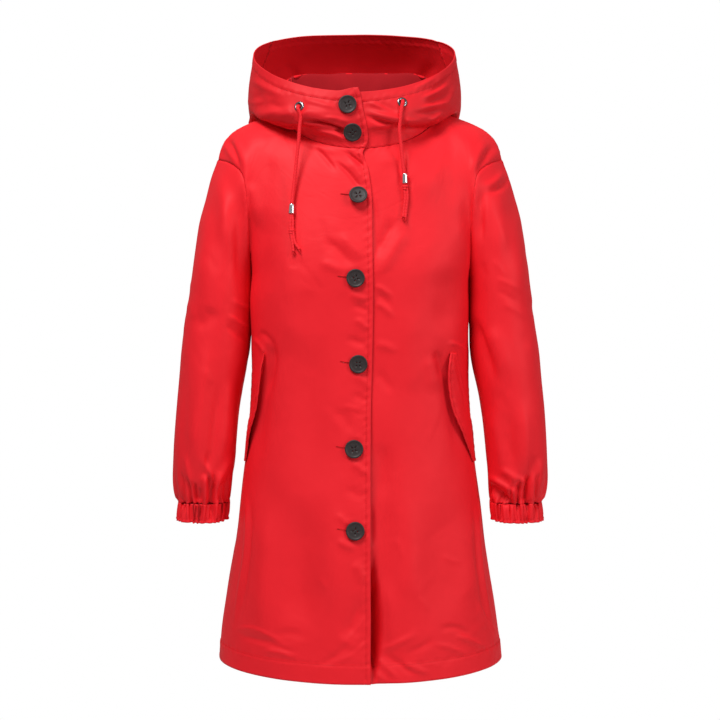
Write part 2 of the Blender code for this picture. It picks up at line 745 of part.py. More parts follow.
# ---------------------------------------------------------------- hard trims
def find_place(place, x, z):
    """Point and outward direction where a surface passes a place in front view."""
    across, along = 0.5, 0.5
    step = 0.002
    for _ in range(30):
        point = place(across, along)
        run = place(across + step, along) - point
        rise = place(across, along + step) - point
        turned = run.x * rise.z - run.z * rise.x
        off_x, off_z = x - point.x, z - point.z
        across += (off_x * rise.z - off_z * rise.x) / turned * step * 0.8
        along += (run.x * off_z - run.z * off_x) / turned * step * 0.8
        across, along = min(max(across, 0.0), 0.99), min(max(along, 0.0), 0.99)
    return place(across, along), surface_normal(place, across, along, False)


def facing(point, direction, turn=0.0):
    """Placing matrix at a point, local Z along a direction, turned about it."""
    side = Vector((0, 0, 1)).cross(direction).normalized()
    up = direction.cross(side)
    frame = Matrix((side, up, direction)).transposed().to_4x4()
    return Matrix.Translation(point * MM) @ frame @ Matrix.Rotation(turn, 4, "Z")


def spin_section(mesh_tool, section, sides, closed):
    """Turn a half section of radius and height about Z."""
    verts = [mesh_tool.verts.new((radius * MM, 0, height * MM)) for radius, height in section]
    edges = [mesh_tool.edges.new(pair) for pair in zip(verts, verts[1:])]
    if closed:
        edges.append(mesh_tool.edges.new((verts[-1], verts[0])))
    bmesh.ops.spin(mesh_tool, geom=verts + edges, cent=(0, 0, 0), axis=(0, 0, 1),
                   angle=2 * pi, steps=sides, use_merge=True)
    bmesh.ops.remove_doubles(mesh_tool, verts=mesh_tool.verts, dist=1e-6)
    bmesh.ops.recalc_face_normals(mesh_tool, faces=mesh_tool.faces)


def make_turned(name, section, sides, closed, frame, finish):
    mesh_tool = bmesh.new()
    spin_section(mesh_tool, section, sides, closed)
    mesh_tool.transform(frame)
    return finish_object(name, mesh_tool, finish)


def make_cylinder(name, radius, length, sides, frame):
    """A round bar centred on its frame, for cutting."""
    mesh_tool = bmesh.new()
    bmesh.ops.create_cone(mesh_tool, cap_ends=True, segments=sides, radius1=radius * MM,
                          radius2=radius * MM, depth=length * MM, matrix=frame)
    return as_guide(finish_object(name, mesh_tool, METAL))


def as_guide(piece):
    """Keep a piece as a cutter or a joined shape only."""
    piece.hide_render = True
    piece.display_type = "WIRE"
    return piece


def add_boolean(piece, other, operation):
    modifier = piece.modifiers.new(operation.lower() + "_" + other.name, "BOOLEAN")
    modifier.operation = operation
    modifier.solver = "EXACT"
    modifier.object = other


def make_buttons():
    """Seven four-hole buttons, each turned as it was sewn on, just off the cloth."""
    for number, (x, z, turn) in enumerate(BUTTONS, start=1):
        on_hood = number <= BUTTONS_ON_HOOD
        panel = hood_side_place(RIGHT) if on_hood else front_place(RIGHT)
        point, outward = find_place(panel, x, z)
        frame = facing(point + outward * BUTTON_CLEAR, outward, radians(turn))
        button = make_turned(f"button_{number}", BUTTON_SECTION, BUTTON_SIDES, False, frame, BUTTON)
        for quarter in range(4):
            spot = Matrix.Rotation(radians(45 + 90 * quarter), 4, "Z") \
                @ Matrix.Translation((BUTTON_HOLE_OUT * MM, 0, 1.1 * MM))
            cutter = make_cylinder(f"button_{number}_hole_{quarter + 1}", BUTTON_HOLE, 6, 6,
                                   frame @ spot)
            add_boolean(button, cutter, "DIFFERENCE")


def make_eyelets(hood_sides):
    for side, x, z in EYELETS:
        point, outward = find_place(hood_side_place(side), x, z)
        frame = facing(point, outward)
        make_turned("eyelet_" + side_name(side), EYELET_SECTION, 16, True, frame, METAL)
        cutter = make_cylinder("eyelet_hole_" + side_name(side), EYELET_HOLE, 9, 16, frame)
        add_boolean(hood_sides[side], cutter, "DIFFERENCE")


# ---------------------------------------------------------------- drawcords
def even_route(route, step):
    """Points a step apart along a smooth curve through the route's own points."""
    points = [Vector(place) for place in route]
    count = 24 * (len(points) - 1)
    fine = [smooth_path(points, index / count) for index in range(count + 1)]
    lengths = [0.0]
    for low, high in zip(fine, fine[1:]):
        lengths.append(lengths[-1] + (high - low).length)
    steps = max(round(lengths[-1] / step), 1)
    even = []
    index = 0
    for number in range(steps + 1):
        target = lengths[-1] * number / steps
        while index < count - 1 and lengths[index + 1] < target:
            index += 1
        share = (target - lengths[index]) / (lengths[index + 1] - lengths[index])
        even.append(fine[index].lerp(fine[index + 1], share))
    return even


def make_tube(name, points, radius, resolution, finish):
    """A round cord with closed ends along a row of points."""
    curve = bpy.data.curves.new(name, "CURVE")
    curve.dimensions = "3D"
    curve.bevel_depth = radius * MM
    curve.bevel_resolution = resolution
    curve.use_fill_caps = True
    spline = curve.splines.new("POLY")
    spline.points.add(len(points) - 1)
    for spot, point in zip(spline.points, points):
        spot.co = (*(point * MM), 1)
    curve.materials.append(make_material(finish))
    piece = bpy.data.objects.new(name, curve)
    bpy.context.scene.collection.objects.link(piece)
    return piece


def make_strand(name, route):
    """A tail's strand as a mesh."""
    tube = make_tube(name, even_route(route, CORD_STEP), STRAND_RADIUS, 2, CORD)
    mesh = bpy.data.meshes.new_from_object(tube.evaluated_get(
        bpy.context.evaluated_depsgraph_get()))
    bpy.data.objects.remove(tube, do_unlink=True)
    mesh.name = name
    mesh_tool = bmesh.new()
    mesh_tool.from_mesh(mesh)
    bmesh.ops.remove_doubles(mesh_tool, verts=mesh_tool.verts, dist=1e-6)
    mesh_tool.to_mesh(mesh)
    mesh_tool.free()
    piece = bpy.data.objects.new(name, mesh)
    bpy.context.scene.collection.objects.link(piece)
    return piece


def make_cord(side):
    """A drawcord, the bell near its end and the knotted two-strand tail below."""
    word = side_name(side)
    make_tube("drawcord_" + word, even_route(CORD_ROUTES[side], CORD_STEP), CORD_RADIUS, 2, CORD)
    top, bottom = (Vector(place) for place in BELLS[side])
    frame = facing(top, (bottom - top).normalized())
    make_turned("cord_bell_" + word, BELL_SECTION, 12, True, frame, METAL)
    first, second, (middle, radii) = TAILS[side]
    tail = make_strand("cord_tail_" + word, first)
    other = as_guide(make_strand("cord_tail_strand_" + word, second))
    knot_tool = bmesh.new()
    size = Matrix.Diagonal(Vector((*radii, 1)))
    bmesh.ops.create_uvsphere(knot_tool, u_segments=12, v_segments=7, radius=MM,
                              matrix=Matrix.Translation(Vector(middle) * MM) @ size)
    knot = as_guide(finish_object("cord_tail_knot_" + word, knot_tool, CORD))
    add_boolean(tail, other, "UNION")
    add_boolean(tail, knot, "UNION")


# ---------------------------------------------------------------- scene
def clear_scene():
    for item in list(bpy.data.objects):
        bpy.data.objects.remove(item, do_unlink=True)


def main():
    clear_scene()
    hood_sides = {}
    for side in (RIGHT, LEFT):
        make_front(side)
        make_sleeve(side)
        make_cuff(side)
        make_pocket_flap(side)
        make_cord(side)
        hood_sides[side] = make_hood_side(side)
    make_back()
    make_hood_centre()
    make_buttons()
    make_eyelets(hood_sides)


main()
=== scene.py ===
# %% [markdown]
# # A red hooded raincoat, filled out with nobody in it
#
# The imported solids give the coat's form as rigid walls. This lesson dresses them: each cut
# piece of cloth becomes a fine thin sheet on the same form, with its creases, gathers, seams
# and stitches. Lengths are millimetres until a mesh is made, and then metres.

# %% The frame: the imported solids
from collections import namedtuple
from math import cos, pi, radians, sin

import bmesh
import bpy
import numpy as np
from mathutils import Matrix, Vector
from mathutils.kdtree import KDTree


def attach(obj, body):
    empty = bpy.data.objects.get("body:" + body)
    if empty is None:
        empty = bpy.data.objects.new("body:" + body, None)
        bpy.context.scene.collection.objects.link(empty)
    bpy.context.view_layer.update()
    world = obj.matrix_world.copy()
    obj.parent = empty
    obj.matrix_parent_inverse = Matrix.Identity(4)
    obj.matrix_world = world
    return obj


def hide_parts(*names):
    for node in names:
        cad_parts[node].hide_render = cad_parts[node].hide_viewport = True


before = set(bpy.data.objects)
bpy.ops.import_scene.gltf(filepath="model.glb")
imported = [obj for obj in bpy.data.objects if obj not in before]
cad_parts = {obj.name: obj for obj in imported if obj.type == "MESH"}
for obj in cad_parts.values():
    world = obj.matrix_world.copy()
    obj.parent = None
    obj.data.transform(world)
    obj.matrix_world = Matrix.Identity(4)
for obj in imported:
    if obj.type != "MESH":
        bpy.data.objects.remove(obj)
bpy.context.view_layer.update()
MM = 0.001
RIGHT, LEFT = -1, 1
SIDE_NAMES = {RIGHT: "right", LEFT: "left"}
print("solids:", len(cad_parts))

# %% [markdown]
# ## Camera
# The photograph was taken level with the coat's middle from about two metres. One pixel of
# its 720 is 1.6 mm on the plane of the coat's sides, which fixes the lens.

# %% Camera
CAMERA_DISTANCE, CAMERA_HEIGHT = 2200, -413
PHOTO_SIZE, PIXEL, SENSOR = 720, 1.6, 36
camera_data = bpy.data.cameras.new("photo_camera")
camera_data.sensor_width = SENSOR
camera_data.lens = SENSOR * CAMERA_DISTANCE / (PHOTO_SIZE * PIXEL)
camera = bpy.data.objects.new("photo_camera", camera_data)
camera.location = (0, -CAMERA_DISTANCE * MM, CAMERA_HEIGHT * MM)
camera.rotation_euler = (pi / 2, 0, 0)
bpy.context.scene.collection.objects.link(camera)
bpy.context.scene.camera = camera
print(f"lens: {camera_data.lens:.1f} mm")

# %% [markdown]
# ## Sizes of the form
# The same tables that the solids were made from: rings of the body, the neck, the shoulder
# and armhole seams, the sleeve and the hood.

# %% Tables


def table(names, *rows):
    """Rows of numbers whose columns have names."""
    kind = namedtuple("Row", names)
    return tuple(kind(*row) for row in rows)


BODY_RINGS = table("height half_width front back squareness",
                   (-893, 224, 166, 167, 2.15), (-865, 222, 164, 165, 2.15),
                   (-783, 211, 157, 156, 2.2), (-699, 198, 148, 144, 2.25),
                   (-606, 186.5, 137, 128, 2.3), (-548, 180, 130, 118, 2.35),
                   (-460, 174.5, 123, 107, 2.5), (-373, 172, 123, 104, 2.7),
                   (-285, 171.5, 125, 110, 3.0))
HEM, UNDERARM = -893, -285
HEM_LIFT, HEM_LIFT_END = 9, -640
LAP_RIGHT, LAP_AT_NECK, LAP_LEFT, LAP_LIFT = 17, 12, 28, 2.8
LAP_FLAT, LAP_FADE = 32, 76

NECK_Y, NECK_HALF_WIDTH, NECK_FRONT, NECK_BACK = 8, 125, 108, 77
NECK_SIDE_Z, NECK_FRONT_Z, NECK_BACK_Z = -14, -90, -22
NECK_SHARE, NECK_ROUND = 0.6, 0.1

SHOULDER_SEAM = table("share out height",
                      (0.0, 125, -14), (0.35, 168, -29), (0.62, 199, -44), (0.8, 216, -60),
                      (0.9, 223, -74), (1.0, 228, -92))
SHOULDER_Y, SHOULDER_ROUND = 4, 0.6

ARMHOLE = table("share out front back height",
                (0.0, 171.5, 0, 0, -285), (0.15, 171.5, -34, 36, -268), (0.32, 172, -60, 64, -232),
                (0.5, 173, -76, 82, -188), (0.66, 176, -80, 88, -150), (0.78, 184, -72, 82, -123),
                (0.9, 205, -42, 50, -104), (1.0, 228, 4, 4, -92))

SLEEVE_RINGS = table("place outer outer_z inner inner_z half_depth middle join",
                     (0.0, 228, -92, 171.5, -285, 84, 2, 1.0),
                     (0.06, 239, -124, 173.2, -296, 83, 1, 0.8),
                     (0.14, 251, -173, 174.0, -312, 82, 0, 0.5),
                     (0.22, 260.5, -225, 174.5, -330, 80, -2, 0.25),
                     (0.32, 269, -284, 174.8, -356, 77, -4, 0.08),
                     (0.44, 278, -356, 175.8, -392, 73, -6, 0.0),
                     (0.54, 285.5, -412, 180, -426, 70, -9, 0.0),
                     (0.66, 291, -478, 189.5, -478, 65, -13, 0.0),
                     (0.78, 295, -545, 198, -545, 59, -18, 0.0),
                     (0.87, 296, -592, 202, -592, 53, -21, 0.0),
                     (0.94, 293, -619, 204.5, -619, 46, -23, 0.0),
                     (1.0, 287.5, -637, 207, -638, 40, -24, 0.0))
CUFF_DEPTH = 27

HOOD_SHIFT = -9
RIM_HALF_WIDTH, RIM_FRONT, RIM_BACK = 161, 116, 104
RIM_SLOPE, RIM_CURVE, RIM_FRONT_Z = 0.85, 0.0010, -5
HOOD_SEAM, HOOD_SIDE_PARTS, HOOD_CLEAR = 112.5, 15, 0.3
HOOD_SECTIONS = table(
    "turn wall_out wall_z belly_out belly_z fold_out fold_z under_out under_z roll_out roll_z",
    (0, 8, -28, 8, -46, 6, -60, 3.5, -70, 1.5, -79),
    (12, 11, -28, 12, -45, 10, -58, 5, -66, 2, -76),
    (27, 19, -27, 22, -43, 18, -55, 8, -60, 3, -70), (60, 30, 2, 33, -22, 29, -43, 14, -48, 5, -49),
    (90, 42, 40, 44, 8, 41, -17, 22, -13, 7, 0), (108, 51, 60, 61, 5, 53, -38, 28, -16, 8, 42),
    (125, 63.5, 75, 83, 5, 67, -68, 34, -26, 13, 59),
    (150, 75, 85, 100, 5, 77, -94, 38, -36, 15, 63),
    (180, 78, 88, 104, 5, 78, -102, 40, -40, 15, 65))
HOOD_LAP = table("down reach", (0.0, -2), (0.08, 5), (0.5, 12), (1.0, 11.5))
HOOD_LAP_UNDER, HOOD_LAP_FLAT, HOOD_LAP_FADE = 24, 34, 80
print("body", HEM, "to", UNDERARM, "mm; hood sections:", len(HOOD_SECTIONS))

# %% [markdown]
# ## Reading the tables
# A garment is easier to reason about as numbers along a line than as vertices. These helpers
# read whole arrays of places at once, so a sheet of ten thousand points takes a moment.

# %% Small tools on arrays


def blend(a, b, share):
    """Value part of the way from a to b."""
    return a + (b - a) * share


def ease(value, low, high):
    """0 below low, 1 above high and a smooth step between."""
    share = np.clip((value - low) / (high - low), 0.0, 1.0)
    return share * share * (3 - 2 * share)


def read_table(rows, place):
    """A table's columns at places between its rows, on smooth curves through them."""
    numbers = np.array(rows, float)
    place = np.asarray(place, float)
    index = np.clip(np.searchsorted(numbers[:, 0], place) - 1, 0, len(rows) - 2)
    low, high = numbers[index], numbers[index + 1]
    before = numbers[np.maximum(index - 1, 0)]
    after = numbers[np.minimum(index + 2, len(rows) - 1)]
    span = (high - low)[..., :1]
    share = np.clip((place[..., None] - low[..., :1]) / span, 0.0, 1.0)
    slope_low = (high - before) / (high - before)[..., :1] * span
    slope_high = (after - low) / (after - low)[..., :1] * span
    values = (low * (1 + 2 * share) * (1 - share) ** 2 + slope_low * share * (1 - share) ** 2
              + high * share * share * (3 - 2 * share) - slope_high * share * share * (1 - share))
    return type(rows[0])(*np.moveaxis(values, -1, 0))


def repeated(row, like):
    """One row of a table, said again for each place of an array."""
    return type(row)(*(np.full_like(like, value) for value in row))


def power(value, exponent):
    """A power that keeps the sign, for superellipses."""
    return np.abs(value) ** exponent * np.sign(value)


def points(x, y, z):
    """Three arrays as one array of points."""
    return np.stack(np.broadcast_arrays(x, y, z), axis=-1)


# %% [markdown]
# ## The body's surface
# Below the underarm the body is a stack of superellipses. Above it, each row runs from the
# centre line to the armhole, and the rows climb over the shoulder to the neck and shoulder
# seams, because that is how the cloth itself is cut.

# %% Body


def neck_point(turn):
    """Point of the neck seam at an angle from the front."""
    depth = np.where(np.cos(turn) > 0, NECK_FRONT, NECK_BACK)
    radius = 1 / np.hypot(np.sin(turn) / NECK_HALF_WIDTH, np.cos(turn) / depth)
    ahead = radius * np.cos(turn) / depth
    end_z = np.where(ahead > 0, NECK_FRONT_Z, NECK_BACK_Z)
    drop = (np.hypot(ahead, NECK_ROUND) - NECK_ROUND) / (np.hypot(1, NECK_ROUND) - NECK_ROUND)
    return points(radius * np.sin(turn), NECK_Y - radius * np.cos(turn),
                  blend(NECK_SIDE_Z, end_z, drop))


def ring_point(turn, height):
    """Point of the body below the underarm."""
    ring = read_table(BODY_RINGS, height)
    depth = np.where(np.cos(turn) > 0, ring.front, ring.back)
    exponent = 2 / ring.squareness
    lift = HEM_LIFT * np.sin(turn) ** 2 * (1 - ease(height, HEM, HEM_LIFT_END))
    return points(ring.half_width * power(np.sin(turn), exponent),
                  -depth * power(np.cos(turn), exponent), height + lift)


def top_point(column, front):
    """Point of a panel's top edge: the neck seam, then the shoulder seam."""
    turn = np.minimum(column / NECK_SHARE, 1) * pi / 2
    seam = read_table(SHOULDER_SEAM, np.maximum(column - NECK_SHARE, 0) / (1 - NECK_SHARE))
    shoulder = points(seam.out, blend(NECK_Y, SHOULDER_Y, seam.share), seam.height)
    return np.where((column <= NECK_SHARE)[..., None],
                    neck_point(turn if front else pi - turn), shoulder)


def yoke_row(column, rise, front):
    """Place in plan of a row above the underarm."""
    ring = BODY_RINGS[-1]
    depth = -ring.front if front else ring.back
    middle_y = blend(depth, neck_point(np.array(0.0 if front else pi))[1], rise ** 1.3)
    edge = read_table(ARMHOLE, rise)
    edge_y = edge.front if front else edge.back
    turn = column * pi / 2
    exponent = blend(2 / ring.squareness, 1.0, ease(rise, 0.0, 0.5))
    return points(edge.out * power(np.sin(turn), exponent),
                  edge_y + (middle_y - edge_y) * power(np.cos(turn), exponent), 0.0)


def rounded(rise, over):
    """How high a row above the underarm lies, from straight to rounded over the shoulder."""
    return blend(rise, np.sin(rise * pi / 2), SHOULDER_ROUND * over)


def yoke_point(column, rise, front):
    """Point of a panel above the underarm."""
    point = yoke_row(column, rise, front)
    top = top_point(column, front)
    lift = top - yoke_row(column, np.ones_like(rise), front)
    edge = read_table(ARMHOLE, rise)
    out = (edge.out - ARMHOLE[0].out) / (ARMHOLE[-1].out - ARMHOLE[0].out)
    over = ease(column, 0.1, NECK_SHARE + 0.1)
    height = blend(UNDERARM, top[..., 2], rounded(rise, over))
    edge_off = edge.height - blend(UNDERARM, ARMHOLE[-1].height, rounded(rise, 1.0))
    return points(point[..., 0] + lift[..., 0] * out,
                  point[..., 1] + lift[..., 1] * (1 - np.cos(rise * pi / 2)),
                  height + edge_off * column ** 3)


YOKE_START = 15 / 24


def body_point(column, row, front):
    """Point of the body; column 0 is the centre and 1 the side, row 0 the hem, 1 the top."""
    column, row = np.broadcast_arrays(column, row)
    size = np.abs(column)
    turn = size * pi / 2
    height = blend(HEM, UNDERARM, np.minimum(row / YOKE_START, 1))
    low = ring_point(turn if front else pi - turn, height)
    rise = np.clip((row - YOKE_START) / (1 - YOKE_START), 0, 1)
    point = np.where((row >= YOKE_START)[..., None], yoke_point(size, rise, front), low)
    point[..., 0] *= np.where(column < 0, -1, 1)
    return point


FURTHEST_LAP, HALVINGS, FRONT_PARTS = -0.4, 20, 10


def lap_column(side, row):
    """Column, below 0, at which a front's lapped edge lies past the centre line."""
    reach = np.full_like(row, LAP_LEFT)
    if side == RIGHT:
        reach = blend(LAP_RIGHT, LAP_AT_NECK, ease(row, YOKE_START, 1.0))
    low, high = np.full_like(row, FURTHEST_LAP), np.zeros_like(row)
    for _ in range(HALVINGS):
        middle = (low + high) / 2
        beyond = body_point(middle, row, True)[..., 0] < -reach
        low, high = np.where(beyond, middle, low), np.where(beyond, high, middle)
    return low


def front_column(side, across, row):
    """Column for a front; across 0 is its lapped edge, 1 its side. The lap is one part more."""
    spot = across * (FRONT_PARTS + 1) - 1
    return np.where(spot < 0, -spot * lap_column(side, row), spot / FRONT_PARTS)


def pushed_point(column, row, push):
    """Point of a front moved straight out from the body."""
    right = np.minimum(column + 0.01, 1.0)
    run = body_point(right, row, True) - body_point(column - 0.01, row, True)
    outward = points(run[..., 1], -run[..., 0], 0.0)
    outward /= np.linalg.norm(outward, axis=-1, keepdims=True)
    return body_point(column, row, True) + outward * push[..., None]


# The large folds of the fronts: both ends in front view, width and depth.
FOLDS = table("side x0 z0 x1 z1 width depth",
              (LEFT, 30, -560, 34, -870, 17, -13), (RIGHT, 140, -406, 158, -550, 8, -6),
              (LEFT, 127, -404, 150, -540, 9, -6), (RIGHT, 208, -74, 186, -118, 11, 4),
              (LEFT, 210, -74, 184, -118, 11, 4))


def fold_push(side, x, z):
    """How far the large folds move a front out."""
    push = np.zeros_like(x)
    for fold in FOLDS:
        if fold.side == side:
            run = np.array((fold.x1 - fold.x0, fold.z1 - fold.z0))
            share = ((x - fold.x0) * run[0] + (z - fold.z0) * run[1]) / run.dot(run)
            aside = ((x - fold.x0) * run[1] - (z - fold.z0) * run[0]) / np.hypot(*run)
            fade = ease(share, -0.3, 0.35) * (1 - ease(share, 0.75, 1.3))
            push += fold.depth * np.exp(-(aside / fold.width) ** 2) * fade
    return push


def front_point(side, across, row):
    """Point of a front, with the wearer's left as +X whichever side it is."""
    across, row = np.broadcast_arrays(across, row)
    column = front_column(side, across, row)
    point = body_point(column, row, True)
    push = fold_push(side, point[..., 0], point[..., 2]) * (1 - ease(column, 0.93, 1.0))
    if side == RIGHT:
        push = push + LAP_LIFT * (1 - ease(point[..., 0], LAP_FLAT, LAP_FADE))
    return pushed_point(column, row, push)


# %% [markdown]
# ## Sleeve, cuff and hood surfaces
# The sleeve starts on the armhole's own curve and settles into plain ovals. The hood is one
# long section swung round the neck: up from the seam, out over the shoulders, down into its
# bag and up again to the rim.

# %% Sleeve and hood
OVAL_SHARPNESS = 0.94


def armhole_point(turn):
    """Point of the armhole seam; turn 0 is its top, 0.25 in front, 0.5 the underarm."""
    edge = read_table(ARMHOLE, np.abs(1 - 2 * turn))
    return points(edge.out, np.where(turn < 0.5, edge.front, edge.back), edge.height)


def sleeve_oval(ring, turn):
    """Point of a sleeve ring's plain oval."""
    angle = 2 * pi * turn
    outer = points(ring.outer, ring.middle, ring.outer_z)
    inner = points(ring.inner, ring.middle, ring.inner_z)
    reach = (outer - inner) / 2 * power(np.cos(angle), OVAL_SHARPNESS)[..., None]
    depth = ring.half_depth * power(np.sin(angle), OVAL_SHARPNESS)
    return (outer + inner) / 2 + reach - points(0.0, depth, 0.0)


def sleeve_point(turn, down):
    """Point of the wearer's left sleeve; down 0 is the armhole, 1 the top of the cuff."""
    ring = read_table(SLEEVE_RINGS, down)
    bend = armhole_point(turn) - sleeve_oval(repeated(SLEEVE_RINGS[0], down), turn)
    return sleeve_oval(ring, turn) + bend * ring.join[..., None]


def neck_edge(turn):
    """Distance from the neck's middle and height of the neck seam."""
    point = neck_point(turn)
    return np.hypot(point[..., 0], point[..., 1] - NECK_Y), point[..., 2]


def rim_point(turn):
    """Distance out and height of the hood's front edge."""
    depth = np.where(np.cos(turn) > 0, RIM_FRONT, RIM_BACK)
    radius = 1 / np.hypot(np.sin(turn) / RIM_HALF_WIDTH, np.cos(turn) / depth)
    back = RIM_FRONT - radius * np.cos(turn)
    return radius, RIM_FRONT_Z + RIM_SLOPE * back - RIM_CURVE * back * back


def smooth_path(stops, share):
    """Points on a smooth curve through a list of stops, by their number."""
    spot = np.asarray(share) * (len(stops) - 1)
    index = np.clip(spot.astype(int), 0, len(stops) - 2)
    part = (spot - index)[..., None]
    stops = np.array(stops, float)
    grid = np.indices(index.shape) if stops.ndim > 2 else ()
    numbers = (np.maximum(index - 1, 0), index, index + 1, np.minimum(index + 2, len(stops) - 1))
    before, low, high, after = (stops[(number, *grid)] for number in numbers)
    return 0.5 * ((2 * low) + (high - before) * part
                  + (2 * before - 5 * low + 4 * high - after) * part ** 2
                  + (3 * low - before - 3 * high + after) * part ** 3)


def hood_point(turn, down):
    """Point of the hood at a signed angle from the front; down 0 is the rim, 1 the neck."""
    turn, down = np.broadcast_arrays(turn, down)
    size = np.abs(turn)
    section = read_table(HOOD_SECTIONS, np.degrees(size))
    base, base_z = neck_edge(size)
    rim, rim_z = rim_point(size)
    bends = list(zip(section[1::2], section[2::2])) + [(HOOD_CLEAR, base_z + HOOD_CLEAR)]
    stops = [np.stack((rim, rim_z), -1)]
    stops += [np.stack((base + out, height), -1) for out, height in bends]
    spot = smooth_path(stops, down)
    shift = HOOD_SHIFT * (1 - ease(down, 0.55, 1.0))
    return points(spot[..., 0] * np.sin(turn) + shift, NECK_Y - spot[..., 0] * np.cos(turn),
                  spot[..., 1])


def hood_side_point(side, across, down):
    """Point of a hood side; across 0 is its lapped edge and 1 the seam to the middle."""
    across, down = np.broadcast_arrays(across, down)
    reach = read_table(HOOD_LAP, down).reach if side == RIGHT else HOOD_LAP_UNDER
    spot = across * (HOOD_SIDE_PARTS + 1) - 1
    turn = np.where(spot < 0, spot * np.arcsin(reach / NECK_FRONT),
                    spot * radians(HOOD_SEAM / HOOD_SIDE_PARTS))
    point = hood_point(turn * side, down)
    if side == RIGHT:
        point[..., 1] -= LAP_LIFT * (1 - ease(turn * NECK_FRONT, HOOD_LAP_FLAT, HOOD_LAP_FADE))
    return point


# %% [markdown]
# ## Where the photograph sees a point
# Creases are given one by one, so each is written where it shows: in pixels of the photograph.
# These lines turn a point of the coat into such a pixel, just as the camera does.

# %% Photo pixels
PHOTO_CENTRE = PHOTO_SIZE / 2


def photo_spot(place):
    """The place in the photograph, in pixels, at which the camera sees each point."""
    size = CAMERA_DISTANCE / (PIXEL * (CAMERA_DISTANCE + place[..., 1]))
    return (PHOTO_CENTRE + place[..., 0] * size,
            PHOTO_CENTRE - (place[..., 2] - CAMERA_HEIGHT) * size)


# %% [markdown]
# ## Creases
# Cloth simulation gives creases, but not the ones in the photograph. So each is drawn as a curve
# through three pixels, soft on one side and often sharper on the other. A positive depth is a ridge
# and a negative one a trough. `other` narrows the side above a line drawn to the right, or right of a
# line drawn downward.

# %% Crease tables


def creases(*rows):
    """A table of creases: three pixels, a width in pixels and a depth in millimetres."""
    return table("x0 y0 xm ym x1 y1 width depth other", *rows)


RIGHT_FRONT_CREASES = creases(
    (314, 146, 326, 158, 338, 174, 3, -2.2, .6), (334, 160, 350, 174, 364, 194, 2.6, -3.0, .6),
    (346, 160, 357, 170, 367, 186, 4, 2.0, 1), (344, 149, 355, 158, 366, 168, 2.4, -3.6, .5),
    (352, 147, 360, 153, 367, 160, 2.5, 1.8, 1), (300, 141, 322, 146, 346, 151, 5, 2.2, .6),
    (322, 236, 340, 252, 356, 270, 6, -2.6, .7), (338, 232, 352, 246, 364, 262, 5, 2.2, 1),
    (318, 262, 332, 266, 347, 274, 5, 1.8, 1), (350, 292, 359, 297, 370, 300, 4, 2.0, .7),
    (352, 305, 361, 308, 370, 314, 3, -1.6, 1), (354, 318, 362, 323, 370, 331, 4, 2.0, .7),
    (346, 336, 357, 342, 370, 345, 4, -1.8, 1), (352, 374, 362, 380, 370, 390, 4, 1.6, .8),
    (350, 396, 361, 398, 370, 404, 4, -1.4, 1), (336, 408, 345, 420, 352, 436, 5, -1.6, 1),
    (350, 462, 360, 468, 370, 478, 4, 1.8, .8), (343, 488, 356, 494, 369, 500, 5, -1.4, 1),
    (336, 512, 344, 520, 350, 527, 3, 1.6, .7), (338, 538, 346, 545, 357, 549, 4, 2.2, .7),
    (353, 560, 360, 572, 364, 588, 5, 2.4, 1), (341, 640, 354, 622, 364, 592, 10, -3.4, .7),
    (336, 664, 352, 654, 367, 640, 2.6, 1.2, .7), (318, 664, 336, 656, 352, 640, 3, -1.8, 1),
    (346, 640, 356, 630, 367, 614, 2.4, 1.2, .7), (348, 656, 358, 647, 367, 630, 2.4, -1.4, 1),
    (316, 578, 322, 583, 330, 592, 3, .7, 1), (234, 631, 256, 629, 292, 649, 3, 1.5, .5),
    (238, 637, 262, 641, 304, 658, 3, -1.3, 1), (262, 652, 280, 652, 306, 660, 3, 1.4, .7),
    (272, 640, 290, 634, 312, 640, 5, -1.4, 1), (302, 490, 299, 570, 300, 645, 20, -6.5, 1),
    (266, 490, 263, 570, 258, 645, 13, 4.6, .8), (340, 500, 338, 560, 335, 630, 14, 2.6, 1),
    (268, 205, 262, 250, 266, 300, 18, -4.0, 1), (296, 262, 292, 310, 290, 360, 16, 3.0, 1),
    (318, 330, 312, 400, 314, 470, 18, -2.4, 1), (252, 338, 260, 345, 267, 360, 2.5, 1.6, .6),
    (257, 332, 268, 338, 277, 352, 3, -1.6, 1), (270, 340, 273, 366, 264, 404, 6, -4.6, .6),
    (247, 182, 254, 200, 256, 230, 6, 2.6, 1), (262, 132, 268, 150, 290, 168, 12, 2.4, 1),
    (225, 139, 234, 150, 242, 174, 2.4, -2.8, .8), (221, 143, 230, 153, 238, 170, 3, 2.2, 1),
    (232, 137, 240, 150, 246, 172, 4, 1.8, 1), (251, 214, 252, 280, 252, 344, 7, 2.4, 1))
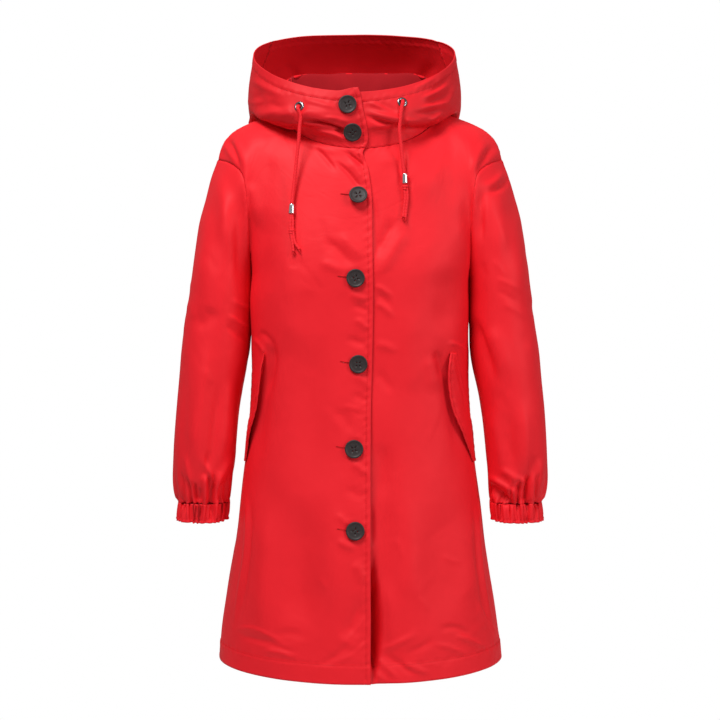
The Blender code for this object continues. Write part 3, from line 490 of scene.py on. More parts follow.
LEFT_FRONT_CREASES = creases(
    (373, 196, 376, 228, 375, 266, 4, -2.6, 1), (396, 216, 385, 238, 374, 260, 6, -3.0, .7),
    (408, 226, 394, 250, 376, 281, 6, 2.4, 1), (374, 285, 383, 289, 394, 299, 2.6, 2.0, .6),
    (375, 302, 385, 308, 396, 320, 3, 1.8, .6), (375, 294, 384, 299, 392, 310, 2.6, -1.6, 1),
    (374, 345, 386, 346, 399, 354, 4, 1.6, 1), (374, 372, 384, 380, 392, 396, 5, -1.6, 1),
    (438, 262, 447, 300, 441, 340, 14, -3.6, 1), (398, 150, 422, 178, 447, 186, 16, 3.0, 1),
    (412, 300, 408, 350, 414, 400, 16, 2.4, 1), (446, 343, 457, 345, 470, 354, 3, 1.8, .6),
    (434, 350, 440, 362, 443, 381, 5, -3.2, .6), (424, 356, 432, 372, 434, 396, 8, 2.0, 1),
    (371.5, 546, 374.5, 622, 373, 692, 4.0, -20.0, .7),
    (372, 560, 378.5, 622, 374, 680, 3.2, -22.0, .45), (385, 574, 391, 616, 388, 656, 7, 3.0, 1),
    (371, 500, 372.5, 528, 372, 548, 2.4, -5.0, .7), (376, 652, 398, 643, 420, 631, 4, 2.0, .7),
    (400, 655, 420, 648, 436, 636, 3.5, -1.6, 1), (454, 636, 470, 640, 491, 650, 3, 2.2, .6),
    (438, 632, 456, 628, 480, 641, 3, -1.8, 1), (432, 644, 452, 648, 472, 658, 3, 1.6, .7),
    (376, 656, 387, 667, 403, 684, 3, 2.4, .6), (371, 664, 378, 674, 389, 685, 3, 2.0, .6),
    (383, 653, 400, 665, 418, 677, 3, -2.0, 1), (400, 660, 415, 668, 432, 674, 3, 1.8, .7),
    (474, 596, 487, 620, 501, 642, 2.6, 2.0, .7), (436, 500, 440, 560, 444, 630, 20, -3.6, 1),
    (410, 496, 412, 556, 414, 620, 13, 2.6, 1), (466, 498, 470, 560, 474, 622, 12, 3.0, 1),
    (415, 596, 423, 603, 432, 615, 3, .8, 1), (442, 554, 452, 560, 464, 563, 3, .6, 1),
    (394, 536, 400, 548, 402, 564, 3, .8, 1), (494, 144, 484, 160, 477, 182, 2.4, -3.4, .8),
    (500, 147, 492, 162, 482, 180, 3, 2.6, 1), (487, 140, 478, 156, 473, 176, 4, 1.8, 1),
    (468, 214, 468, 280, 468, 344, 7, 2.4, 1), (372, 142, 388, 140, 404, 134, 4, 2.2, .6),
    (376, 156, 398, 160, 420, 154, 8, 1.8, 1), (456, 182, 458, 220, 462, 262, 8, 2.4, 1),
    (380, 440, 384, 470, 380, 506, 8, -2.2, 1))
RIGHT_SLEEVE_CREASES = creases(
    (221, 168, 225, 214, 228, 262, 8, 4.2, .8), (238, 182, 240, 236, 244, 300, 7, -4.6, 1),
    (207, 196, 205, 246, 201, 300, 9, 2.8, 1), (226, 313, 238, 322, 251, 331, 3, 1.4, .7),
    (224, 324, 236, 333, 248, 343, 3, -1.3, 1), (230, 299, 240, 305, 250, 311, 3, 1.0, 1),
    (216, 306, 206, 320, 190, 326, 9, -2.6, .8), (209, 336, 200, 408, 193, 478, 9, 4.0, .7),
    (222, 372, 215, 428, 211, 478, 6, -3.2, 1), (232, 372, 226, 420, 221, 470, 6, 2.8, 1),
    (184, 350, 183, 410, 184, 470, 6, -2.4, 1), (199, 452, 209, 474, 213, 492, 4, 2.8, .6),
    (234, 452, 223, 474, 216, 492, 4, 2.6, .6), (184, 452, 188, 472, 190, 490, 3.5, 2.2, .7),
    (249, 214, 250, 280, 251, 344, 7, 3.0, 1), (211, 448, 206, 468, 203, 482, 4, -3.2, .8),
    (222, 146, 230, 150, 238, 162, 4, -1.8, 1), (207, 470, 210.5, 492, 209, 530, 2.2, -8.0, .6),
    (215, 474, 213.5, 494, 214, 530, 2.0, -7.0, .6), (220, 470, 217, 490, 216, 530, 3.0, 3.4, 1),
    (179, 470, 183, 492, 184, 530, 2.0, -5.0, .7), (185, 474, 189, 494, 191, 530, 2.0, -5.0, .7),
    (192, 482, 195.5, 497, 196, 530, 2.0, -4.4, .7), (201, 488, 200.5, 500, 200.5, 530, 2.0, -3.0, .7),
    (204, 474, 205, 490, 205.5, 530, 2.4, 2.8, 1), (229, 472, 227, 494, 226, 530, 2.4, -5.0, .7),
    (224, 480, 221.5, 496, 221, 530, 2.0, -4.4, .7))
LEFT_SLEEVE_CREASES = creases(
    (508, 176, 500, 188, 482, 194, 3, -3.4, .7), (504, 170, 494, 182, 482, 186, 2.4, 2.4, 1),
    (484, 184, 482, 212, 480, 246, 5, -4.4, .7), (493, 176, 498, 220, 501, 266, 9, 4.0, 1),
    (514, 206, 517, 256, 522, 310, 8, 2.6, 1), (495, 279, 508, 283, 524, 294, 3, 1.4, .8),
    (494, 289, 508, 296, 523, 306, 3, -1.3, 1), (500, 304, 514, 309, 528, 320, 3, 1.0, 1),
    (472, 314, 484, 346, 496, 386, 6, -4.4, .7), (486, 326, 500, 350, 509, 392, 8, 3.4, 1),
    (521, 396, 525, 438, 524, 480, 8, 3.2, .8), (506, 400, 510, 440, 510, 474, 7, -3.0, 1),
    (492, 404, 497, 440, 503, 470, 6, 2.8, 1), (488, 474, 503, 485, 524, 498, 4, 4.0, .6),
    (487, 487, 500, 497, 514, 506, 4, -3.8, .6), (497, 466, 514, 477, 533, 486, 4, 2.8, .7),
    (537, 452, 531, 474, 526, 500, 4, -2.8, 1), (541, 456, 540, 474, 538, 492, 3, 2.2, 1),
    (471, 214, 470, 280, 469, 344, 7, 3.0, 1), (484, 480, 498, 492, 516, 508, 5, -5.0, .6),
    (531, 474, 527, 492, 526, 530, 2.2, -6.0, .7), (539, 472, 537, 492, 536, 530, 2.0, -5.0, .7),
    (520, 478, 518, 496, 517, 530, 2.0, -5.4, .7), (512, 484, 510, 500, 509, 530, 2.0, -5.0, .7),
    (496, 488, 499, 500, 501, 530, 2.2, -3.2, .7), (534, 470, 532, 492, 531, 530, 3.0, 2.8, 1),
    (524, 474, 523, 494, 522, 530, 2.6, 2.4, 1))
HOOD_CREASES = creases(
    (245, 119, 252, 123, 268, 125, 3.2, 5.0, 1), (456, 105, 455, 110, 448, 114, 3, 1.8, 1),
    (250, 119, 284, 112.5, 346, 115, 6, 3.4, .8), (252, 124, 270, 125.5, 290, 125, 3, -2.6, 1),
    (288, 127, 300, 126.5, 314, 130, 2.4, -2.8, .6), (300, 121.5, 330, 125, 362, 142, 3.0, -6.5, .5),
    (310, 129, 332, 133, 357, 146, 4.5, 3.6, .5), (318, 118, 338, 119, 350, 124, 3, 2.2, .7),
    (252, 78, 266, 88, 290, 98, 4, 2.0, .8), (302, 99, 320, 104, 340, 109, 3, 1.8, .8),
    (254, 92, 260, 100, 262, 112, 5, -1.8, 1), (268, 100, 276, 106, 290, 109, 4, -1.6, 1),
    (362, 109, 394, 118.5, 428, 122, 4, 3.4, .7), (428, 122, 436, 117, 444, 111, 3, 2.8, .7),
    (364, 114, 392, 124.5, 424, 128.5, 2.8, -5.0, .6), (420, 98, 434, 93, 452, 82, 3, 2.4, .6),
    (424, 104, 438, 99, 454, 92, 3, -2.2, 1), (418, 108, 436, 105, 455, 101, 3, 2.2, .6),
    (428, 92, 440, 85, 450, 74, 2.4, -2.0, 1), (410, 112, 428, 113, 440, 108, 3, -1.8, 1),
    (376, 102, 390, 108, 400, 114, 3, -1.6, 1), (366, 101, 376, 105, 390, 111, 2.6, 1.8, .7),
    (412, 90, 424, 84, 438, 76, 2.6, 1.8, .6), (446, 104, 451, 96, 454, 84, 3, 1.6, 1))
BACK_CREASES = creases(
    (300, 150, 330, 176, 352, 214, 9, 2.4, .7), (420, 148, 396, 178, 372, 210, 9, 2.4, .7),
    (262, 210, 288, 224, 306, 250, 8, -2.4, 1), (458, 206, 434, 226, 416, 256, 8, -2.6, 1),
    (318, 330, 312, 420, 300, 520, 16, 4.0, .8), (404, 336, 408, 430, 418, 540, 16, 4.0, .8),
    (360, 300, 358, 420, 362, 560, 18, -4.0, 1), (280, 480, 270, 560, 262, 640, 14, -3.6, 1),
    (440, 470, 450, 556, 458, 640, 14, -3.6, 1), (338, 560, 334, 610, 336, 660, 12, 3.0, 1),
    (392, 566, 396, 616, 396, 664, 12, 3.0, 1), (300, 640, 320, 634, 344, 642, 4, 1.8, .7),
    (410, 644, 432, 636, 456, 640, 4, 1.8, .7), (256, 330, 270, 336, 288, 350, 5, 1.8, .7),
    (464, 326, 448, 334, 432, 350, 5, 1.8, .7), (320, 206, 360, 214, 400, 208, 7, 1.6, 1))
BACK_SLEEVE_CREASES = creases(
    (222, 190, 214, 250, 206, 306, 9, 3.4, .8), (240, 236, 236, 290, 232, 330, 7, -3.6, 1),
    (244, 316, 226, 322, 200, 318, 5, 2.6, .6), (242, 330, 222, 338, 196, 334, 5, -2.8, .8),
    (238, 348, 222, 352, 204, 350, 4, 2.0, .7), (206, 370, 200, 420, 202, 470, 9, 3.4, .8),
    (226, 380, 222, 430, 216, 476, 7, -3.0, 1), (500, 186, 508, 250, 516, 306, 9, 3.4, .8),
    (482, 236, 486, 290, 490, 330, 7, -3.6, 1), (476, 314, 494, 322, 520, 318, 5, 2.6, .6),
    (478, 330, 500, 338, 524, 334, 5, -2.8, .8), (484, 348, 500, 352, 516, 350, 4, 2.0, .7),
    (516, 370, 522, 420, 520, 470, 9, 3.4, .8), (494, 380, 500, 430, 506, 476, 7, -3.0, 1))
BACK_HOOD_CREASES = creases(
    (280, 60, 300, 84, 306, 116, 7, 2.4, .8), (440, 62, 420, 84, 414, 118, 7, 2.4, .8),
    (330, 70, 352, 98, 356, 130, 8, -2.6, 1), (392, 72, 376, 100, 372, 132, 8, -2.2, 1),
    (262, 110, 300, 128, 352, 134, 6, 2.4, .7), (456, 108, 416, 128, 368, 134, 6, 2.4, .7))

print("creases of the fronts:", len(RIGHT_FRONT_CREASES), "and", len(LEFT_FRONT_CREASES))

# %% Lap edge and calm places
# Where the photograph shows the edge of the upper lap: its height and its place across, in
# pixels. It dips in at the neck seam, where the lap's corner is pulled under.
LAP_EDGE = table("y x",
                 (87, 353.5), (93.7, 359), (108, 362.8), (129, 367.3), (139.6, 368), (146, 366),
                 (152, 362.8), (158, 364), (165.6, 367.3), (180, 370), (198, 371.9), (259, 372.7),
                 (298, 373.2), (360, 372.3), (423, 370.8), (684, 370.6))
LAP_REACH = 45

# Places where the cloth lies calm: under a button or an eyelet, or behind a hanging cord.
CALM = table("x y0 y1 reach",
             (347.4, 103.4, 103.4, 10), (352.4, 130.6, 130.6, 10), (358.5, 195.8, 195.8, 10),
             (355.6, 278.5, 278.5, 10), (358.4, 364, 364, 10), (354.3, 448.9, 448.9, 10),
             (355.1, 531.4, 531.4, 10), (299.1, 105.9, 105.9, 8), (402.4, 101, 101, 8),
             (298, 108, 215, 4), (294, 215, 262, 6), (402, 104, 185, 4), (405, 185, 226, 6))

# %% Reading the creases


def set_lap_edge(place):
    """Shifts the right-hand end of a panel's rows to the lap edge of the photograph."""
    x, y = photo_spot(place[:, -1])
    wanted = read_table(LAP_EDGE, y).x
    size = PIXEL * (CAMERA_DISTANCE + place[:, -1, 1]) / CAMERA_DISTANCE
    reach = np.linalg.norm(place - place[:, -1:], axis=-1)
    shift = ((wanted - x) * size)[:, None] * (1 - ease(reach, 0, LAP_REACH))
    return place + points(shift, 0.0, 0.0)


CREASE_STEPS, CREASE_REACH, CREASE_TURNOVER = 11, 3, 0.6
CREASE_START, CREASE_END = 0.35, 0.65
STREWN_TURN, STREWN_SAG = 22, 0.12


def crease_push(x, y, crease):
    """How far one crease moves each place in or out."""
    middle_x = 2 * crease.xm - (crease.x0 + crease.x1) / 2
    middle_y = 2 * crease.ym - (crease.y0 + crease.y1) / 2
    share = np.linspace(0, 1, CREASE_STEPS)[:, None]
    line = (np.array((crease.x0, crease.y0)) * (1 - share) ** 2
            + np.array((middle_x, middle_y)) * 2 * share * (1 - share)
            + np.array((crease.x1, crease.y1)) * share ** 2)
    margin = CREASE_REACH * crease.width
    low, high = line.min(0) - margin, line.max(0) + margin
    near = (x > low[0]) & (x < high[0]) & (y > low[1]) & (y < high[1])
    push = np.zeros_like(x)
    start, run = line[:-1], np.diff(line, axis=0)
    off_x, off_y = x[near][:, None] - start[:, 0], y[near][:, None] - start[:, 1]
    part = np.clip((off_x * run[:, 0] + off_y * run[:, 1]) / (run ** 2).sum(1), 0, 1)
    gap = np.hypot(off_x - part * run[:, 0], off_y - part * run[:, 1])
    closest = gap.argmin(1)
    row = np.arange(len(closest))
    side = np.sign((run[:, 0] * off_y - run[:, 1] * off_x)[row, closest]) * gap[row, closest]
    turnover = CREASE_TURNOVER * crease.width
    width = crease.width * blend(crease.other, 1.0, ease(side, -turnover, turnover))
    far = (closest + part[row, closest]) / len(run)
    fade = ease(far, 0.0, CREASE_START) * (1 - ease(far, CREASE_END, 1.0))
    push[near] = crease.depth * np.exp(-(gap[row, closest] / width) ** 2) * fade
    return push


def strewn(seed, count, zone, lean, length, width, depth):
    """Small creases strewn over a zone of the photograph, leaning about one way."""
    chance = np.random.default_rng(seed)
    rows = []
    for _ in range(count):
        x, y = chance.uniform(zone[0], zone[2]), chance.uniform(zone[1], zone[3])
        angle = radians(lean + chance.normal(0, STREWN_TURN))
        reach, sag = length * chance.uniform(0.7, 1.6) / 2, chance.normal(0, STREWN_SAG)
        dx, dy = cos(angle) * reach, sin(angle) * reach
        rows.append((x - dx, y - dy, x - dy * sag, y + dx * sag, x + dx, y + dy,
                     width * chance.uniform(0.7, 1.5), depth * chance.uniform(-1, 1),
                     chance.uniform(0.5, 1.0)))
    return creases(*rows)


def calm_share(x, y):
    """1 on free cloth and 0 where it lies calm."""
    share = np.ones_like(x)
    for spot in CALM:
        gap = np.hypot(x - spot.x, y - np.clip(y, spot.y0, spot.y1))
        share = share * ease(gap, spot.reach * 0.5, spot.reach * 1.3)
    return share


DRIFT_WAVES, DRIFT_SHORTEST, DRIFT_LONGEST, DRIFT_SLOPE = 12, 38, 190, 420
DRIFT_CHANCE = np.random.default_rng(11)
DRIFT_RUNS = DRIFT_CHANCE.normal(size=(DRIFT_WAVES, 3))
DRIFT_RUNS /= np.linalg.norm(DRIFT_RUNS, axis=1, keepdims=True)
DRIFT_LENGTHS = DRIFT_CHANCE.uniform(DRIFT_SHORTEST, DRIFT_LONGEST, DRIFT_WAVES)
DRIFT_PHASES = DRIFT_CHANCE.uniform(0, 2 * pi, DRIFT_WAVES)


def drift(place):
    """A slow unevenness that runs on from panel to panel, in millimetres."""
    wave = place @ DRIFT_RUNS.T * 2 * pi / DRIFT_LENGTHS + DRIFT_PHASES
    return (np.sin(wave) * DRIFT_LENGTHS / DRIFT_SLOPE).sum(-1)


# %% [markdown]
# ## Seams, hems and folds of an edge
# A seam pulls both cloths in; a hem or a channel has a second layer as far as its stitches,
# and the stitches draw small puckers across themselves.

# %% Edges
Edge = namedtuple("Edge", "side kind inset", defaults=(0,))
HEM_INSET, LAP_INSET, RIM_INSET, FLAP_INSET, CUFF_INSET = 28, 7, 15, 5, 4
HOOD_SEAM_INSET = 5
LAYER_RISE, CREASE_GAIN, HIDDEN_GAIN = 0.9, 1.25, 1.5
SEAM_DIP, FOLD_DIP, PUCKER_REACH = (0.6, 1.5, 0.25), (1.0, 1.4, 0.32), 6


def edge_reach(place):
    """Lengths along the cloth from each of a panel's four edges."""
    across = np.linalg.norm(np.diff(place, axis=1), axis=-1).cumsum(1)
    along = np.linalg.norm(np.diff(place, axis=0), axis=-1).cumsum(0)
    left = np.pad(across, ((0, 0), (1, 0)))
    bottom = np.pad(along, ((1, 0), (0, 0)))
    return {"left": left, "right": left[:, -1:] - left,
            "bottom": bottom, "top": bottom[-1:] - bottom}


def stitch_dip(distance, run, depth, width, pucker):
    """The dip along a row of stitches, and the small puckers that cross it."""
    ripple = np.sin(run / 1.9 + 2.2 * np.sin(run / 31) + distance * 0.25)
    ripple += 0.7 * np.sin(run / 3.3 + 1.7 * np.sin(run / 47 + 1) - distance * 0.2)
    near = np.exp(-(distance / PUCKER_REACH) ** 2)
    return pucker * ripple * near - depth * np.exp(-(distance / width) ** 2)


def edge_push(reach, edges):
    """What a panel's seams, hems and channels add to its shape."""
    push = np.zeros_like(reach["left"])
    for edge in edges:
        run = reach["left"] if edge.side in ("top", "bottom") else reach["bottom"]
        distance = reach[edge.side]
        if "seam" in edge.kind:
            push += stitch_dip(distance, run, *SEAM_DIP)
        elif edge.kind == "fold":
            push += LAYER_RISE * (1 - ease(distance, edge.inset - 0.5, edge.inset + 1.5))
            push += stitch_dip(distance - edge.inset, run, *FOLD_DIP)
    return push


# %% [markdown]
# ## From surface to cloth
# A grid from bmesh is laid on the form, each point pushed out or in along the form's own
# direction. Every edge is then turned in by a few millimetres, as a seam allowance or a folded
# hem is, so panels meet without a gap. The cloth's thickness is a live Solidify.

# %% Cloth sheets
TURN_IN = {"seam": 2.0, "flat seam": 0.7, "fold": 1.8, "gather": 0.4}
MERGE = 1e-6


def surface_out(place, closed=False):
    """Outward direction at each point of a grid of points."""
    out = np.cross(np.gradient(place, axis=1), np.gradient(place, axis=0))
    if closed:
        out[:, 0] = out[:, -1] = out[:, 0] + out[:, -1]
    return out / np.maximum(np.linalg.norm(out, axis=-1, keepdims=True), 1e-9)


def relaxed(place, rounds=24):
    """The grid with the small kinks between its table's rows smoothed away, its edges kept."""
    place = place.copy()
    for _ in range(rounds):
        beside = place[1:-1, :-2] + place[1:-1, 2:]
        place[1:-1, 1:-1] = (beside + place[:-2, 1:-1] + place[2:, 1:-1]) / 4
    return place


def grid_shares(columns, rows):
    """Shares across and along for a grid's points, as two arrays of rows by columns."""
    return np.meshgrid(np.linspace(0, 1, columns + 1), np.linspace(0, 1, rows + 1))


def turned_in(place, out, edges):
    """The grid with one more row inside each edge that is sewn or folded."""
    for edge in edges:
        axis = 1 if edge.side in ("left", "right") else 0
        last = edge.side in ("right", "top")
        rim, ahead = (np.take(grid, [-1 if last else 0], axis) for grid in (place, out))
        order = slice(None, None, 1 if last else -1)
        place = np.concatenate((place, rim - ahead * TURN_IN[edge.kind])[order], axis)
        out = np.concatenate((out, ahead)[order], axis)
    return place


def finished(name, tool, *materials):
    """A bmesh as a smooth object in the scene, riding on the coat's one body."""
    mesh = bpy.data.meshes.new(name)
    tool.to_mesh(mesh)
    tool.free()
    for material in materials:
        mesh.materials.append(material)
    mesh.shade_smooth()
    piece = bpy.data.objects.new(name, mesh)
    bpy.context.scene.collection.objects.link(piece)
    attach(piece, "root")
    return piece


def lay_grid(tool, place, cut=None):
    """Adds a grid to a bmesh, each of its points where an array in millimetres says.

    `cut` is the width and length in metres that its UV map covers, if it has one.
    """
    rows, columns = place.shape[0] - 1, place.shape[1] - 1
    layer = tool.loops.layers.uv.verify() if cut else None
    grid = bmesh.ops.create_grid(tool, x_segments=columns, y_segments=rows, size=0.5)
    for vert in grid["verts"]:
        across, along = vert.co.x + 0.5, vert.co.y + 0.5
        vert.co = place[round(along * rows), round(across * columns)] * MM
        for loop in vert.link_loops if cut else ():
            loop[layer].uv = (across * cut[0], along * cut[1])


def lay_cloth(name, place, thickness, closed, outside, inside):
    """A sheet whose points lie where the array says, given its cloth's thickness."""
    middle_row, middle_column = place[(len(place) - 1) // 2], place[:, (place.shape[1] - 1) // 2]
    cut = [np.linalg.norm(np.diff(line, axis=0), axis=1).sum() * MM
           for line in (middle_row, middle_column)]
    tool = bmesh.new()
    lay_grid(tool, place, cut)
    if closed:
        bmesh.ops.remove_doubles(tool, verts=tool.verts, dist=MERGE)
    piece = finished(name, tool, outside, inside)
    wall = piece.modifiers.new("cloth_thickness", "SOLIDIFY")
    wall.thickness = thickness * MM
    wall.offset = -1
    wall.material_offset = 1
    return piece


Panel = namedtuple("Panel", "piece place out reach")
UNDER_LAP, FRONT_FADE = (366, 373), (-0.25, 0.1)
SEAM_CALM, SEAM_SHARE, CLOTH_THICKNESS = 14, 0.15, 0.9


def make_panel(node, base, edges, seen=(), hidden=(), over=(), extra=0.0,
               thickness=CLOTH_THICKNESS, closed=False,
               outside=None, inside=None):
    """One cut piece of cloth: shaped and laid. It stands for the node of its name.

    `over` holds the creases of a panel that laps over this one's edge, which it follows there.
    """
    out = surface_out(base, closed)
    x, y = photo_spot(base)
    front = ease(-out[..., 1], *FRONT_FADE)
    push = drift(base)
    for share, rows in ((front, seen), (HIDDEN_GAIN * (1 - front), hidden)):
        for crease in rows:
            push += share * CREASE_GAIN * crease_push(x, y, crease)
    if over:
        above = sum(CREASE_GAIN * crease_push(x, y, crease) for crease in over)
        push -= np.maximum(push - above, 0) * (1 - ease(x, *UNDER_LAP)) * front
    push *= blend(1.0, calm_share(x, y), front)
    reach = edge_reach(base)
    for edge in edges:
        if "seam" in edge.kind:
            push *= blend(SEAM_SHARE, 1.0, ease(reach[edge.side], 0, SEAM_CALM))
    push += edge_push(reach, edges) + extra
    if closed:
        push[:, 0] = push[:, -1] = (push[:, 0] + push[:, -1]) / 2
    place = base + out * push[..., None]
    piece = lay_cloth(node + "_cloth", turned_in(place, surface_out(place, closed), edges),
                      thickness, closed, outside or RED_CLOTH, inside or RED_INSIDE_PAINTED_SHADE)
    reach = edge_reach(place)
    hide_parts(node)
    return Panel(piece, place, surface_out(place, closed), reach)


# %% [markdown]
# ## The coat's finishes
# The cloth is a smooth coated weave: a saturated red with a soft, broad shine, and duller inside. Its
# inside faces, the hood and the stand round the neck take darker copies of the same red, which are
# painted shade. One fine weave group serves the cloth, the cords and the thread, each with its own
# scale. A second group gives the buttons and the metal the slight cloudiness of real ones.

# %% Materials


def new_material(name, colour, roughness, metallic=0.0):
    """A material with its Principled shader's plain values set."""
    material = bpy.data.materials.new(name)
    material.use_nodes = True
    shader = material.node_tree.nodes["Principled BSDF"]
    shader.inputs["Base Color"].default_value = (*colour, 1)
    shader.inputs["Roughness"].default_value = roughness
    shader.inputs["Metallic"].default_value = metallic
    return material, shader


def add_node(tree, kind, inputs, **settings):
    """A node with its settings made and each input set to a value or linked to an output."""
    node = tree.nodes.new(kind)
    for name, value in settings.items():
        setattr(node, name, value)
    for name, value in inputs.items():
        if isinstance(value, bpy.types.NodeSocket):
            tree.links.new(value, node.inputs[name])
        else:
            node.inputs[name].default_value = value
    return node


def new_group(name, inputs, outputs):
    """An empty node group with named sockets, and the node that brings its inputs in."""
    group = bpy.data.node_groups.new(name, "ShaderNodeTree")
    for way, sockets in (("INPUT", inputs), ("OUTPUT", outputs)):
        for socket in sockets:
            kind = "NodeSocketVector" if socket == "Vector" else "NodeSocketFloat"
            group.interface.new_socket(socket, in_out=way, socket_type=kind)
    return group, group.nodes.new("NodeGroupInput").outputs


def weave_group():
    """Fine crossed threads, a slow change of shade and small crinkles."""
    group, given = new_group("plain_weave", ("Vector", "Threads"), ("Height", "Shade", "Crinkle"))
    waves = [add_node(group, "ShaderNodeTexWave", {
        "Distortion": 0.6, "Detail": 0.0, "Vector": given["Vector"], "Scale": given["Threads"]},
        bands_direction=direction).outputs["Fac"] for direction in ("X", "Y")]
    crossed = add_node(group, "ShaderNodeMath", dict(enumerate(waves)), operation="MULTIPLY")
    slow = add_node(group, "ShaderNodeTexNoise", {
        "Scale": SHADE_SCALE, "Detail": 3, "Vector": given["Vector"]})
    crinkle = add_node(group, "ShaderNodeTexNoise", {
        "Scale": CRINKLE_SCALE, "Detail": 3, "Roughness": 0.42, "Distortion": 1.0,
        "Vector": given["Vector"]})
    add_node(group, "NodeGroupOutput", {"Crinkle": crinkle.outputs["Fac"],
                                        "Height": crossed.outputs[0], "Shade": slow.outputs["Fac"]})
    return group


def mottle_group():
    """The faint cloudiness of moulded plastic and of handled metal."""
    group, given = new_group("fine_mottle", ("Vector", "Scale"), ("Shade",))
    cloud = add_node(group, "ShaderNodeTexNoise", {
        "Detail": 5, "Roughness": 0.6, "Vector": given["Vector"], "Scale": given["Scale"]})
    add_node(group, "NodeGroupOutput", {"Shade": cloud.outputs["Fac"]})
    return group


SHADE_SCALE, CRINKLE_SCALE = 22, 30
CRINKLE_HEIGHT, CRINKLE_STRENGTH, THREAD_HEIGHT, CLOTH_SHINE = 0.0012, 0.5, 0.0001, 0.25
WEAVE, MOTTLE = weave_group(), mottle_group()


def two_toned(material, shader, group, coordinates, amounts, colour, deep):
    """Places a group in a material; its Shade runs the base colour between two tones."""
    tree = material.node_tree
    where = tree.nodes.new("ShaderNodeTexCoord").outputs[coordinates]
    effect = add_node(tree, "ShaderNodeGroup", {**amounts, "Vector": where}, node_tree=group)
    tone = add_node(tree, "ShaderNodeMix", {"A": (*deep, 1), "B": (*colour, 1),
                                            "Factor": effect.outputs["Shade"]}, data_type="RGBA")
    tree.links.new(tone.outputs["Result"], shader.inputs["Base Color"])
    return tree, effect.outputs


def cloth_material(name, colour, deep, roughness=0.9, coordinates="UV", threads=900, bump=0.10):
    """Woven cloth: its colour varies a little and its threads give a fine bump."""
    material, shader = new_material(name, colour, roughness)
    tree, weave = two_toned(material, shader, WEAVE, coordinates, {"Threads": threads}, colour, deep)
    crinkles = add_node(tree, "ShaderNodeBump", {
        "Strength": CRINKLE_STRENGTH, "Distance": CRINKLE_HEIGHT, "Height": weave["Crinkle"]})
    relief = add_node(tree, "ShaderNodeBump", {
        "Normal": crinkles.outputs["Normal"], "Strength": bump, "Distance": THREAD_HEIGHT,
        "Height": weave["Height"]})
    tree.links.new(relief.outputs["Normal"], shader.inputs["Normal"])
    shader.inputs["Specular IOR Level"].default_value = CLOTH_SHINE
    return material


def hard_material(name, colour, deep, smooth, rough, scale, metallic=0.0, specular=0.5):
    """Plastic or metal whose colour and shine vary slightly over its surface."""
    material, shader = new_material(name, colour, smooth, metallic)
    tree, mottle = two_toned(material, shader, MOTTLE, "Object", {"Scale": scale}, colour, deep)
    shine = add_node(tree, "ShaderNodeMapRange", {
        "From Min": 0.3, "From Max": 0.7, "To Min": smooth, "To Max": rough,
        "Value": mottle["Shade"]})
    tree.links.new(shine.outputs["Result"], shader.inputs["Roughness"])
    shader.inputs["Specular IOR Level"].default_value = specular
    return material


RED_CLOTH = cloth_material("red_rain_cloth", (0.86, 0.012, 0.022), (0.79, 0.008, 0.016), 0.60)
# The inside faces: a darker copy of the red, painted shade for the coat's dim inside.
RED_INSIDE_PAINTED_SHADE = cloth_material("red_inside_painted_shade", (0.42, 0.002, 0.006), (0.36, 0.002, 0.005))
# The hood's outside: a darker copy of the same red, which is painted shade.
HOOD_RED_PAINTED_SHADE = cloth_material("hood_red_painted_shade", (0.72, 0.009, 0.017), (0.65, 0.006, 0.012), 0.60)
# Painted shade for the hood's stand round the neck.
NECK_PAINTED_SHADE = cloth_material("neck_painted_shade", (0.36, 0.003, 0.008), (0.31, 0.002, 0.006))
# The hood's inside faces: a darker copy of the red, painted shade for its hollow.
HOOD_INSIDE_PAINTED_SHADE = cloth_material("hood_inside_painted_shade", (0.78, 0.005, 0.013), (0.70, 0.003, 0.009))
RED_CORD = cloth_material("red_cord", (0.86, 0.016, 0.026), (0.78, 0.012, 0.020),
                          0.7, "Object", 600, 0.2)
THREAD = cloth_material("red_thread", (0.68, 0.009, 0.015), (0.64, 0.007, 0.013),
                        0.7, "Object", 800, 0.2)
# The buttonhole's slit is a dark bar of painted shadow.
SLIT_SHADOW = cloth_material("buttonhole_shadow", (0.32, 0.001, 0.002), (0.28, 0.001, 0.002),
                      1.0, "Object", 800, 0.1)
BUTTON_THREAD = cloth_material("dark_thread", (0.020, 0.015, 0.015), (0.016, 0.013, 0.013),
                               0.7, "Object", 800, 0.2)
# Painted shade for the hole inside each eyelet.
EYELET_PAINTED_SHADE = hard_material("eyelet_painted_shade", (0.034, 0.002, 0.003), (0.026, 0.002, 0.003),
                       0.85, 0.95, 600)
BUTTON = hard_material("charcoal_button", (0.036, 0.027, 0.027), (0.024, 0.017, 0.017),
                       0.44, 0.56, 350, specular=0.3)
GUNMETAL = hard_material("gunmetal", (0.25, 0.25, 0.26), (0.19, 0.19, 0.20), 0.17, 0.29, 500, 1.0)
SILVER = hard_material("silver_metal", (0.83, 0.83, 0.84), (0.77, 0.77, 0.78), 0.12, 0.22, 400, 1.0)

# %% [markdown]
# ## The body: two fronts and a back
# The side seams of the fronts lie a little way round to the front near the hem, where the
# photograph shows them as fine raised lines.

